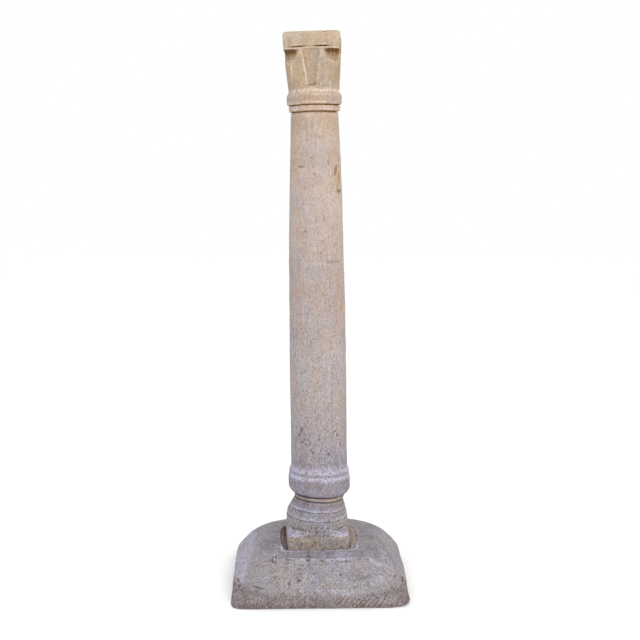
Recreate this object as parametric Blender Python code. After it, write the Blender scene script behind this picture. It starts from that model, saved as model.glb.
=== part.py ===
"""A carved stone column whose square foot stands loose in the socket of a domed base block.

Lengths are in metres. +Z is up, the ground is z = 0 and the front looks towards -Y.
Two closed solids are made: base_block and column.
"""
import bpy
import numpy as np

# The whole work
TOTAL_HEIGHT = 1.600        # ground to the highest edge of the abacus
RING_POINTS = 56            # points round each level of a solid, a multiple of eight
RING_GATHER = 0.035         # how far the points draw together at a square's middles and corners
SOFT_EDGE = 28.0            # faces that meet at a smaller angle are shaded as one, in degrees
BASE_COLOUR = (0.36, 0.33, 0.33)
BASE_ROUGHNESS = 0.85
COLUMN_COLOUR = (0.52, 0.44, 0.37)
COLUMN_ROUGHNESS = 0.8

# Base block
BASE_WIDTH = 0.511          # across the sides at the ground
BASE_HEIGHT = 0.1308        # ground to the middle of the top, before the socket is sunk
BASE_WALL_HEIGHT = 0.050    # upright part of the sides
BASE_WALL_LEAN = 0.0035     # how far the upright part leans in
BASE_CORNER = 16.0          # squareness at the ground: 2 is a circle, large is a sharp square
BASE_SHOULDER_CORNER = 6.3  # squareness where the upright part ends
BASE_SIDE_RISE = 0.217      # height the sloping sides would reach at the centre
BASE_SIDE_CURVE = 0.857     # under 1 the sloping sides bulge
BASE_DOME_REACH = 0.310     # where the dome of the top would fall to the ground
BASE_DOME_CURVE = 6.1       # flatness of the middle of the dome
BASE_ARRIS = 0.006          # softness of the edge between the dome and the sloping sides
BASE_CORNER_HEIGHT = 0.034  # height left at the very corners, where the dome runs down
BASE_FOOT_BEVEL = 0.004     # worn lower edge
WORN_CORNER_LIFT = 0.012    # extra height lost from the lower edge at the front right corner
WORN_CORNER_SPREAD = 0.16   # angle over which it is lost, in radians

# Socket
SOCKET_WIDTH = 0.234        # across the rim
SOCKET_FLOOR_WIDTH = 0.222
SOCKET_CORNER = 5.0
SOCKET_DEPTH = 0.034
RESTING_GAP = 0.0003        # air between the foot and the socket floor

# Foot slab, drum and lower bell of the column
FOOT_WIDTH = 0.186
FOOT_TAPER = 0.002          # how much narrower the slab is at its top
FOOT_TOP = 0.1510           # height of the slab's upper edge
SQUARE_CORNER = 16.0        # squareness of the slab and the abacus
CORNER_SLOPE_TOP = 0.1680   # where the sloping corners die into the drum
DRUM_RADIUS = 0.0915
DRUM_TOP = 0.1925
OVOLO_TOP = 0.2178          # the rounded step above the drum
OVOLO_IN = 0.0060
STEP = 0.0014               # depth of the small ledges
NECK_RADIUS = 0.0718
BELL_TOP = 0.2460

# Neck ring and bulb
GROOVE_DEPTH = 0.0045
GROOVE_HEIGHT = 0.0042
RING_HEIGHT = 0.0085
RING_RADIUS = 0.0745
BULB_RADIUS = 0.0912
BULB_BOWL_HEIGHT = 0.0230   # rounded underside
LOWER_LEDGE = 0.3150        # foot of the lower sloping ledge
LEDGE_HEIGHT = 0.0090
LOWER_LEDGE_IN = 0.0022
UPPER_LEDGE = 0.3360
UPPER_LEDGE_IN = 0.0044

# Shaft
SHAFT_BOTTOM = 0.3620
SHAFT_RADIUS = 0.0833       # at the widest
SHAFT_TOP_RADIUS = 0.0680
SHAFT_TOP = 1.3780
SWELL = 2.75                # larger keeps the shaft full for longer before it narrows

# Fillet, collar and capital
FILLET_RADIUS = 0.0738
FILLET_HEIGHT = 0.0135
COLLAR_RADIUS = 0.0787
COLLAR_BOTTOM = 1.4010
COLLAR_HEIGHT = 0.0290
COLLAR_ROUND = 0.0035
CAPITAL_NECK = 0.0724       # half width of the bell where it leaves the collar
CAPITAL_MOUTH = 0.0786      # half width of the bell under the abacus
CAPITAL_BOTTOM = 1.4370
CAPITAL_TOP = 1.5480
CAPITAL_CORNER = 7.0
FLUTE_DEPTH = 0.0050        # hollow in the middle of each face
FLUTE_TOP_SHARE = 0.36      # half width of the flute as a share of the face, top and bottom
FLUTE_FOOT_SHARE = 0.14
SCOOP_DEPTH = 0.0070        # hollow under each corner of the abacus
LIP_HEIGHT = 0.0050
ABACUS_BOTTOM = 1.5570
ABACUS_WIDTH = 0.1610
ABACUS_TAPER = 0.0030       # how much narrower it is at its lower edge
ABACUS_GROOVE = 0.0035
ABACUS_ARRIS = 0.0030

# How the hand-carved column departs from straight
FOOT_OFFSET = -0.0060       # sideways place of the foot in the socket
BULB_OFFSET = 0.0012        # sideways place of the bulb
SHAFT_LEAN = 0.0158         # how far the top stands over to the left
CAPITAL_LEAN = 0.0037       # a little more over the capital
CAPITAL_LEAN_START = 1.30
LOWER_TILT = -0.045         # slope of the mouldings round the lower bell
CAPITAL_TILT = 0.023        # slope of the collar and the abacus
FOOT_TURN = 0.040           # turn of the foot against the base block, in radians
CAPITAL_TURN = -0.090       # turn of the capital


def ease(value):
    """Smooth step from 0 to 1."""
    t = np.clip(value, 0.0, 1.0)
    return t * t * (3.0 - 2.0 * t)


def ring_angles():
    """Angles round a ring, a little closer together at the middles and corners of a square."""
    turn = np.arange(RING_POINTS) * 2.0 * np.pi / RING_POINTS
    return turn - RING_GATHER * np.sin(8.0 * turn)


def square_reach(angle, corner):
    """Distance from the middle to the edge of a unit rounded square at each angle."""
    across = np.abs(np.cos(angle)) ** corner + np.abs(np.sin(angle)) ** corner
    return across ** (-1.0 / corner)


def centre_at(height):
    """Sideways place of the column's middle at a height."""
    low = FOOT_OFFSET + (BULB_OFFSET - FOOT_OFFSET) * ease((height - DRUM_TOP) / (BELL_TOP + 0.02 - DRUM_TOP))
    lean = SHAFT_LEAN * np.clip((height - UPPER_LEDGE) / (TOTAL_HEIGHT - UPPER_LEDGE), 0.0, 1.0)
    span = TOTAL_HEIGHT - CAPITAL_LEAN_START
    extra = CAPITAL_LEAN * np.clip((height - CAPITAL_LEAN_START) / span, 0.0, 1.0) ** 2
    return low - lean - extra


def tilt_at(height):
    """Sideways slope of the mouldings at a height, as rise over run to the right."""
    rise = ease((height - CORNER_SLOPE_TOP) / 0.030)
    fall = ease((height - OVOLO_TOP) / (SHAFT_BOTTOM + 0.02 - OVOLO_TOP))
    low = LOWER_TILT * rise * (1.0 - fall)
    upper_start = SHAFT_BOTTOM + 0.10
    high = CAPITAL_TILT * ease((height - upper_start) / (COLLAR_BOTTOM - upper_start))
    return low + high


def turn_at(height):
    """Turn of a level about the upright axis, in radians."""
    share = ease((height - DRUM_TOP) / (CAPITAL_BOTTOM - DRUM_TOP))
    return FOOT_TURN + (CAPITAL_TURN - FOOT_TURN) * share


class Levels:
    """Rings of points stacked from the bottom up."""

    def __init__(self):
        """Start with no rings."""
        self.rings = []

    def add(self, height, radius, corner=2.0):
        """Add one level of the column: height, half width (number or array) and squareness."""
        angle = ring_angles()
        reach = radius * square_reach(angle, corner)
        turned = angle + turn_at(height)
        x = reach * np.cos(turned)
        y = reach * np.sin(turned)
        z = height + tilt_at(height) * x
        self.rings.append(np.column_stack([x + centre_at(height), y, z]))


def add_foot(levels):
    """Square slab, sloping corners and drum."""
    bottom = BASE_HEIGHT - SOCKET_DEPTH + RESTING_GAP
    half = 0.5 * FOOT_WIDTH
    levels.add(bottom, half, SQUARE_CORNER)
    levels.add(FOOT_TOP, half - 0.5 * FOOT_TAPER, SQUARE_CORNER)
    for share in (0.35, 0.7, 1.0):
        height = FOOT_TOP + share * (CORNER_SLOPE_TOP - FOOT_TOP)
        slab = (half - 0.5 * FOOT_TAPER) * square_reach(ring_angles(), SQUARE_CORNER)
        reach = np.minimum(slab, DRUM_RADIUS * 2.0 ** (0.5 * (1.0 - share)))
        levels.add(height, np.maximum(reach * (1.0 - share) + DRUM_RADIUS * share, DRUM_RADIUS))


def add_lower_bell(levels):
    """Drum edge, rounded step and the flare up to the neck."""
    levels.add(DRUM_TOP, DRUM_RADIUS)
    top_of_step = DRUM_RADIUS - STEP
    for share in (0.08, 0.4, 0.75, 1.0):
        height = DRUM_TOP + share * (OVOLO_TOP - DRUM_TOP)
        levels.add(height, top_of_step - OVOLO_IN * share ** 2)
    waist = top_of_step - OVOLO_IN - STEP
    for share in (0.08, 0.5, 1.0):
        height = OVOLO_TOP + share * (BELL_TOP - OVOLO_TOP)
        levels.add(height, waist + (NECK_RADIUS - waist) * share ** 1.15)


def add_bulb(levels):
    """Neck ring between two grooves, the bowl and the two sloping ledges."""
    ring_foot = BELL_TOP + GROOVE_HEIGHT
    levels.add(BELL_TOP + 0.5 * GROOVE_HEIGHT, NECK_RADIUS - GROOVE_DEPTH)
    levels.add(ring_foot, RING_RADIUS - STEP)
    levels.add(ring_foot + 0.5 * RING_HEIGHT, RING_RADIUS)
    levels.add(ring_foot + RING_HEIGHT, RING_RADIUS - STEP)
    bowl_foot = ring_foot + RING_HEIGHT + GROOVE_HEIGHT
    levels.add(bowl_foot - 0.5 * GROOVE_HEIGHT, RING_RADIUS - GROOVE_DEPTH)
    for share in (0.0, 0.25, 0.5, 0.75, 1.0):
        angle = 0.5 * np.pi * share
        radius = RING_RADIUS + (BULB_RADIUS - RING_RADIUS) * np.sin(angle)
        levels.add(bowl_foot + BULB_BOWL_HEIGHT * (1.0 - np.cos(angle)), radius)
    levels.add(LOWER_LEDGE, BULB_RADIUS)
    band = BULB_RADIUS - LOWER_LEDGE_IN
    levels.add(LOWER_LEDGE + LEDGE_HEIGHT, band)
    levels.add(UPPER_LEDGE, band - 0.5 * STEP)
    levels.add(UPPER_LEDGE + LEDGE_HEIGHT, band - UPPER_LEDGE_IN)


def add_shaft(levels):
    """Shaft that stays full low down and narrows towards the top."""
    steps = 9
    for step in range(steps + 1):
        share = (step / steps) ** 0.8
        height = SHAFT_BOTTOM + share * (SHAFT_TOP - SHAFT_BOTTOM)
        levels.add(height, SHAFT_RADIUS - (SHAFT_RADIUS - SHAFT_TOP_RADIUS) * share ** SWELL)


def add_collar(levels):
    """Fillet between two grooves and the collar band over it."""
    fillet_foot = SHAFT_TOP + GROOVE_HEIGHT
    levels.add(SHAFT_TOP + 0.5 * GROOVE_HEIGHT, SHAFT_TOP_RADIUS - GROOVE_DEPTH)
    levels.add(fillet_foot, FILLET_RADIUS - STEP)
    levels.add(fillet_foot + FILLET_HEIGHT, FILLET_RADIUS)
    levels.add(COLLAR_BOTTOM - 0.4 * GROOVE_HEIGHT, FILLET_RADIUS - GROOVE_DEPTH)
    levels.add(COLLAR_BOTTOM, COLLAR_RADIUS - 0.5 * COLLAR_ROUND)
    levels.add(COLLAR_BOTTOM + COLLAR_ROUND, COLLAR_RADIUS)
    levels.add(COLLAR_BOTTOM + COLLAR_HEIGHT - COLLAR_ROUND, COLLAR_RADIUS)
    levels.add(COLLAR_BOTTOM + COLLAR_HEIGHT, COLLAR_RADIUS - 0.5 * COLLAR_ROUND)


def face_position():
    """Place of each ring point across its face: 0 in the middle, 1 at the corners."""
    angle = ring_angles()
    local = (angle + 0.25 * np.pi) % (0.5 * np.pi) - 0.25 * np.pi
    return np.abs(np.tan(local))


def add_capital(levels):
    """Bell with a flute on each face and a hollow under each corner of the abacus."""
    across = face_position()
    steps = 12
    for step in range(steps + 1):
        share = step / steps
        height = CAPITAL_BOTTOM + share * (CAPITAL_TOP - CAPITAL_BOTTOM)
        half = CAPITAL_NECK + (CAPITAL_MOUTH - CAPITAL_NECK) * share
        wide = FLUTE_FOOT_SHARE + (FLUTE_TOP_SHARE - FLUTE_FOOT_SHARE) * share
        flute = FLUTE_DEPTH * np.clip(1.0 - (across / wide) ** 2, 0.0, 1.0) * ease((share - 0.04) / 0.14)
        scoop = SCOOP_DEPTH * ease((across - 0.45) / 0.4) * ease((share - 0.62) / 0.3)
        levels.add(height, half - flute - scoop, 2.0 + (CAPITAL_CORNER - 2.0) * ease(1.25 * share))
    levels.add(CAPITAL_TOP + 0.4 * LIP_HEIGHT, CAPITAL_MOUTH, CAPITAL_CORNER)
    levels.add(CAPITAL_TOP + LIP_HEIGHT, CAPITAL_MOUTH, CAPITAL_CORNER)


def add_abacus(levels):
    """Groove under the abacus and the square slab itself."""
    half = 0.5 * ABACUS_WIDTH
    corner = (half - ABACUS_ARRIS) * square_reach(0.25 * np.pi, SQUARE_CORNER)
    top = TOTAL_HEIGHT - CAPITAL_TILT * corner * np.cos(0.25 * np.pi - abs(CAPITAL_TURN))
    middle = 0.5 * (CAPITAL_TOP + LIP_HEIGHT + ABACUS_BOTTOM)
    levels.add(middle, CAPITAL_MOUTH - ABACUS_GROOVE, SQUARE_CORNER)
    levels.add(ABACUS_BOTTOM, half - 0.5 * ABACUS_TAPER, SQUARE_CORNER)
    levels.add(top - ABACUS_ARRIS, half, SQUARE_CORNER)
    levels.add(top, half - ABACUS_ARRIS, SQUARE_CORNER)


def base_rings():
    """Rings of the base block, from the middle of the underside up and in to the socket floor."""
    angle = ring_angles()
    half = 0.5 * BASE_WIDTH
    outer = half * square_reach(angle, BASE_CORNER)
    shoulder = (half - BASE_WALL_LEAN) * square_reach(angle, BASE_SHOULDER_CORNER)
    rim = 0.5 * SOCKET_WIDTH * square_reach(angle, SOCKET_CORNER)
    floor = 0.5 * SOCKET_FLOOR_WIDTH * square_reach(angle, SOCKET_CORNER)
    corner_angle = -0.25 * np.pi
    away = np.angle(np.exp(1j * (angle - corner_angle)))
    wear = WORN_CORNER_LIFT * ease(1.0 - np.abs(away) / WORN_CORNER_SPREAD)

    def ring(reach, height):
        return np.column_stack([reach * np.cos(angle), reach * np.sin(angle), height + 0.0 * angle])

    def top_height(reach):
        side_share = np.clip(reach / shoulder, 0.0, 1.0)
        side = BASE_WALL_HEIGHT + BASE_SIDE_RISE * (1.0 - side_share) ** BASE_SIDE_CURVE
        dome = BASE_HEIGHT * (1.0 - (reach / BASE_DOME_REACH) ** BASE_DOME_CURVE)
        gap = side - dome
        worn = 0.5 * (side + dome - np.sqrt(gap * gap + BASE_ARRIS ** 2))
        lift = BASE_CORNER_HEIGHT - worn
        return 0.5 * (worn + BASE_CORNER_HEIGHT + np.sqrt(lift * lift + BASE_ARRIS ** 2))

    rings = [
        ring(outer - BASE_FOOT_BEVEL - 1.5 * wear, 0.0),
        ring(outer - 0.2 * wear, BASE_FOOT_BEVEL + wear),
    ]
    for share in (0.0, 0.06, 0.12, 0.20, 0.28, 0.34, 0.40, 0.48, 0.58, 0.75, 1.0):
        reach = shoulder + (rim - shoulder) * share
        rings.append(ring(reach, top_height(reach)))
    rings.append(ring(floor, BASE_HEIGHT - SOCKET_DEPTH))
    return rings


def make_piece(name, rings, colour, roughness):
    """Join rings into one closed mesh object with its own material."""
    points = np.vstack(rings)
    count = RING_POINTS
    faces = []
    for level in range(len(rings) - 1):
        low = level * count
        high = low + count
        for k in range(count):
            n = (k + 1) % count
            faces.append((low + k, low + n, high + n, high + k))
    faces.append(tuple(reversed(range(count))))
    last = (len(rings) - 1) * count
    faces.append(tuple(range(last, last + count)))
    mesh = bpy.data.meshes.new(name)
    mesh.from_pydata(points.tolist(), [], faces)
    mesh.validate()
    piece = bpy.data.objects.new(name, mesh)
    bpy.context.scene.collection.objects.link(piece)
    material = bpy.data.materials.new(name + "_stone")
    material.use_nodes = True
    shader = material.node_tree.nodes["Principled BSDF"]
    shader.inputs["Base Color"].default_value = (*colour, 1.0)
    shader.inputs["Roughness"].default_value = roughness
    shader.inputs["Metallic"].default_value = 0.0
    mesh.materials.append(material)
    bpy.ops.object.select_all(action="DESELECT")
    piece.select_set(True)
    bpy.context.view_layer.objects.active = piece
    bpy.ops.object.shade_smooth()
    mesh.set_sharp_from_angle(angle=np.radians(SOFT_EDGE))
    return piece


def main():
    """Build both pieces."""
    for old in list(bpy.data.objects):
        bpy.data.objects.remove(old, do_unlink=True)
    make_piece("base_block", base_rings(), BASE_COLOUR, BASE_ROUGHNESS)
    levels = Levels()
    add_foot(levels)
    add_lower_bell(levels)
    add_bulb(levels)
    add_shaft(levels)
    add_collar(levels)
    add_capital(levels)
    add_abacus(levels)
    make_piece("column", levels.rings, COLUMN_COLOUR, COLUMN_ROUGHNESS)


main()
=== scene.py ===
"""A weathered marble column standing loose in its base block, dressed for the camera.

Lengths are in metres and +Z is up. The front looks towards -Y and +X is to the right seen from
there. Both stones are surfaces worked out on a grid of rings, hand carved by seeded noise, and
painted by masks that sit on their points.
"""
import logging
from dataclasses import dataclass, field
from enum import Enum
from itertools import product
from math import radians

import bpy
import numpy as np
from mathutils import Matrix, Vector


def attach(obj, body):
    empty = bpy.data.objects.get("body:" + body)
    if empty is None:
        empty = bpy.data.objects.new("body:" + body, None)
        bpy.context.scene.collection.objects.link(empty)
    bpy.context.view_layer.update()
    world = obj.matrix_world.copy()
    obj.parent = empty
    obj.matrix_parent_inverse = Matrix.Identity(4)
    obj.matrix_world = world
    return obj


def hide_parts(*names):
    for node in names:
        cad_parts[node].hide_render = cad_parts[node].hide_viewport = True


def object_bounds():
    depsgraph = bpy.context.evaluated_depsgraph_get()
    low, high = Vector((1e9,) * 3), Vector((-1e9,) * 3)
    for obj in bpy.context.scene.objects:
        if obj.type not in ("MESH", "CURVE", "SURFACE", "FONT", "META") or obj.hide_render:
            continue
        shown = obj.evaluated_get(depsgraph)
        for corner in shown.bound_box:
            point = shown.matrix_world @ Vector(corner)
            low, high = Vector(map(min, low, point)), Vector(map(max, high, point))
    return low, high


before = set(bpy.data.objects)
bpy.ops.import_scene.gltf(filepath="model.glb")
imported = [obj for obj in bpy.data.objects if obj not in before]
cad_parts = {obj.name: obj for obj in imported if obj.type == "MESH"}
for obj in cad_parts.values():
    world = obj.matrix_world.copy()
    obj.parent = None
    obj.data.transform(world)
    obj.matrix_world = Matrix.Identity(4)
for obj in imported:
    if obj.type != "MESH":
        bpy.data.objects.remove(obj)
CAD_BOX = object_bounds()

LOG = logging.getLogger("marble_column")
TOTAL_HEIGHT = 1.600        # ground to the highest edge of the abacus
BASE_HEIGHT = 0.1308        # ground to the middle of the base block's top
SOCKET_DEPTH = 0.034
FOOT_TOP = 0.1510           # upper edge of the square foot
DRUM_TOP = 0.1925
OVOLO_TOP = 0.2178
BELL_TOP = 0.2460
SHAFT_BOTTOM = 0.3620
SHAFT_TOP = 1.3780
COLLAR_BOTTOM = 1.4010
CAPITAL_BOTTOM = 1.4370
CAPITAL_TOP = 1.5505


def ease(value: np.ndarray) -> np.ndarray:
    """Smooth step from 0 to 1."""
    t = np.clip(value, 0.0, 1.0)
    return t * t * (3.0 - 2.0 * t)


def bump_at(value: np.ndarray, middle: float, spread: float) -> np.ndarray:
    """A smooth hill of height 1 round a middle, gone at the spread on either side."""
    return ease(1.0 - np.abs(value - middle) / spread)


def face_angles(count: int) -> np.ndarray:
    """Angles evenly spaced along the sides of a square.

    Each quarter runs from one corner to the next, and its angle is the arc tangent of the
    place along the side.

    Args:
        count: Points round, a multiple of four.

    Returns:
        The angles in radians, starting at the middle of the +X side.
    """
    side = np.arange(count) * 4.0 / count
    quarter = np.round(side)
    return quarter * 0.5 * np.pi + np.arctan(2.0 * (side - quarter))


def square_reach(angle: np.ndarray, corner: np.ndarray | float) -> np.ndarray:
    """Distance from the middle to the edge of a unit rounded square.

    The edge is |x|^corner + |y|^corner = 1, a circle at 2 and nearly a sharp square at 16.

    Args:
        angle: Directions in radians.
        corner: Squareness, one value or a column of them.

    Returns:
        The reach in each direction.
    """
    across = np.abs(np.cos(angle)) ** corner + np.abs(np.sin(angle)) ** corner
    return across ** (-1.0 / corner)


def side_place(angle: np.ndarray) -> np.ndarray:
    """Place across the nearest of four faces, -1 at its left corner and 1 at its right."""
    return np.tan((angle + 0.25 * np.pi) % (0.5 * np.pi) - 0.25 * np.pi)


class Grain:
    """Seeded noise on a lattice in space, the same each run."""

    def __init__(self, seed: int, size: int = 48) -> None:
        """Fill the lattice.

        Args:
            seed: Seed of the random values.
            size: Lattice points along each side, after which the pattern repeats.
        """
        self.size = size
        self.lattice = np.random.default_rng(seed).uniform(-1.0, 1.0, (size, size, size))

    def at(self, points: np.ndarray, spacing: float | tuple[float, float, float]) -> np.ndarray:
        """Blend the eight lattice values round each point by smooth weights.

        Args:
            points: Places, with x, y and z last.
            spacing: Distance between lattice points, one for all or one for each axis.

        Returns:
            Values between -1 and 1.
        """
        place = points / np.asarray(spacing)
        cell = np.floor(place).astype(int)
        weight = ease(place - cell)
        total = np.zeros(points.shape[:-1])
        for corner in product((0, 1), repeat=3):
            share = np.prod(np.where(corner, weight, 1.0 - weight), axis=-1)
            index = (cell + corner) % self.size
            total += share * self.lattice[index[..., 0], index[..., 1], index[..., 2]]
        return total

    def layered(self, points: np.ndarray, spacing: float, layers: int = 3) -> np.ndarray:
        """Sum noise of halving spacing and fading strength.

        Args:
            points: Places, with x, y and z last.
            spacing: Spacing of the coarsest layer.
            layers: How many layers.

        Returns:
            Values of about -1 to 1.
        """
        total = np.zeros(points.shape[:-1])
        for layer in range(layers):
            shifted = points + 0.37 * (layer + 1)
            total += self.at(shifted, spacing * 0.5 ** layer) * 0.6 ** layer
        return total * 0.75


@dataclass(frozen=True)
class Mark:
    """One cut, chip or stain of the front: its place as x and z, its size and what it does there.

    The length runs along the slant, in degrees clockwise from straight up.
    """

    across: float
    up: float
    length: float
    width: float
    slant: float = 0.0
    depth: float = 0.0
    grime_and_shade: float = 0.0
    bloom_and_highlight: float = 0.0
    rust: float = 0.0
    front: float = 0.0      # how far forward of the middle it keeps

    def cover(self, points: np.ndarray, wobble: np.ndarray) -> np.ndarray:
        """How much of the mark each point has: an ellipse with a ragged edge, 1 in its middle.

        Args:
            points: Places of the stone's surface.
            wobble: Noise that roughens the outline.

        Returns:
            Values from 0 to 1.
        """
        turn = radians(self.slant)
        dx = points[..., 0] - self.across
        du = points[..., 2] - self.up
        seen = points[..., 1] < -self.front
        along = (dx * np.sin(turn) + du * np.cos(turn)) / (0.5 * self.length)
        beside = (dx * np.cos(turn) - du * np.sin(turn)) / (0.5 * self.width)
        return ease(1.35 * (1.0 - along ** 2 - beside ** 2 + 0.35 * wobble)) * seen


class Surface:
    """A closed surface of stacked rings, with masks on its points."""

    MASKS = ("grime_and_shade", "bloom_and_highlight", "rust", "hewn")

    def __init__(self, rings: np.ndarray) -> None:
        """Take the rings.

        Args:
            rings: Points as rows from the underside up and over, places round, and x, y, z.
        """
        self.points = rings
        self.masks = {name: np.zeros(rings.shape[:2]) for name in self.MASKS}

    def normals(self) -> np.ndarray:
        """Outward unit normals, the step round crossed with the step up."""
        up = np.gradient(self.points, axis=0)
        around = np.roll(self.points, -1, axis=1) - np.roll(self.points, 1, axis=1)
        normal = np.cross(around, up)
        return normal / np.maximum(np.linalg.norm(normal, axis=2, keepdims=True), 1e-12)

    def push(self, distance: np.ndarray) -> None:
        """Move each point out along its normal.

        Args:
            distance: How far, negative to cut in.
        """
        self.points = self.points + self.normals() * distance[..., None]

    def smoothed(self, rounds: int) -> np.ndarray:
        """Average each point with its neighbours round and up, again and again.

        Args:
            rounds: Times to do it, more for wider surroundings.

        Returns:
            The averaged points.
        """
        soft = self.points
        for _ in range(rounds):
            soft = 0.5 * soft + 0.25 * (np.roll(soft, 1, axis=1) + np.roll(soft, -1, axis=1))
            inner = 0.5 * soft[1:-1] + 0.25 * (soft[2:] + soft[:-2])
            soft = np.concatenate([soft[:1], inner, soft[-1:]])
        return soft

    def hollow(self, rounds: int) -> np.ndarray:
        """How far each point lies under the average of its surroundings.

        Args:
            rounds: Times the neighbours are averaged.

        Returns:
            Metres, above 0 in grooves and below 0 on edges.
        """
        return np.sum((self.smoothed(rounds) - self.points) * self.normals(), axis=2)

    def add_marks(self, marks: tuple[Mark, ...], grain: Grain) -> None:
        """Cut and paint each mark.

        Args:
            marks: The marks.
            grain: Noise for their ragged edges.
        """
        wobble = grain.layered(self.points, 0.006, 2)
        cut = np.zeros(self.points.shape[:2])
        for mark in marks:
            cover = mark.cover(self.points, wobble)
            cut += mark.depth * cover
            for name in ("grime_and_shade", "bloom_and_highlight", "rust"):
                self.masks[name] += getattr(mark, name) * cover
        self.push(-cut)

    def build(self, name: str, material: bpy.types.Material) -> bpy.types.Object:
        """Make the mesh: quads between rings, and a fan to a pole at either end.

        Args:
            name: Name of the piece.
            material: Its finish.

        Returns:
            The new object, at the origin.
        """
        rows, count = self.points.shape[:2]
        poles = np.array([self.points[0].mean(axis=0), self.points[-1].mean(axis=0)])
        vertices = np.vstack([self.points.reshape(-1, 3), poles])
        here = np.arange(count)
        following = (here + 1) % count
        low = (np.arange(rows - 1) * count)[:, None]
        high = low + count
        quads = np.stack([low + here, low + following, high + following, high + here], axis=-1)
        last = (rows - 1) * count
        bottom = np.stack([following, here, np.full(count, rows * count)], axis=-1)
        top = np.stack([last + here, last + following, np.full(count, rows * count + 1)], axis=-1)
        faces = quads.reshape(-1, 4).tolist() + bottom.tolist() + top.tolist()
        mesh = bpy.data.meshes.new(name)
        mesh.from_pydata(vertices.tolist(), [], faces)
        for mask_name, mask in self.masks.items():
            values = np.concatenate([mask.ravel(), [mask[0].mean(), mask[-1].mean()]])
            layer = mesh.attributes.new(mask_name, "FLOAT", "POINT")
            layer.data.foreach_set("value", np.clip(values, 0.0, 1.0).astype(np.float32))
        mesh.shade_smooth()
        mesh.materials.append(material)
        piece = bpy.data.objects.new(name, mesh)
        bpy.context.scene.collection.objects.link(piece)
        return piece


class Profile:
    """Rings gathered from the bottom up, each a height and a reach in every direction."""

    def __init__(self, angle: np.ndarray) -> None:
        """Start with no rings.

        Args:
            angle: Directions of the points round.
        """
        self.angle = angle
        self.heights: list[np.ndarray] = []
        self.reaches: list[np.ndarray] = []

    def rows(self, heights: np.ndarray, reaches: np.ndarray) -> None:
        """Add rings whose reach is given in every direction."""
        self.heights.append(np.asarray(heights, dtype=float))
        self.reaches.append(np.asarray(reaches, dtype=float))

    def course(self, heights: np.ndarray, halves: np.ndarray, corner: np.ndarray | float = 2.0) -> None:
        """Add rounded square or round rings.

        Args:
            heights: Heights of the rings.
            halves: Half widths of the rings.
            corner: Squareness, one value or one for each ring.
        """
        heights = np.atleast_1d(np.asarray(heights, dtype=float))
        halves = np.broadcast_to(halves, heights.shape)
        corners = np.broadcast_to(corner, heights.shape)
        self.rows(heights, halves[:, None] * square_reach(self.angle[None, :], corners[:, None]))

    def groove(self, height: float, tall: float, below: float, above: float, depth: float) -> None:
        """Cut a rounded groove, half a turn of a sine deep, between two half widths.

        Args:
            height: Lower edge of the groove.
            tall: Height of the groove.
            below: Half width at its lower edge.
            above: Half width at its upper edge.
            depth: Depth from the line between them.
        """
        share = np.linspace(0.0, 1.0, 7)[1:-1]
        straight = below + (above - below) * share
        self.course(height + tall * share, straight - depth * np.sin(np.pi * share) ** 0.7)

    def stacked(self) -> tuple[np.ndarray, np.ndarray]:
        """All heights, and all reaches with one row for each height."""
        return np.concatenate(self.heights), np.concatenate(self.reaches)


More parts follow.
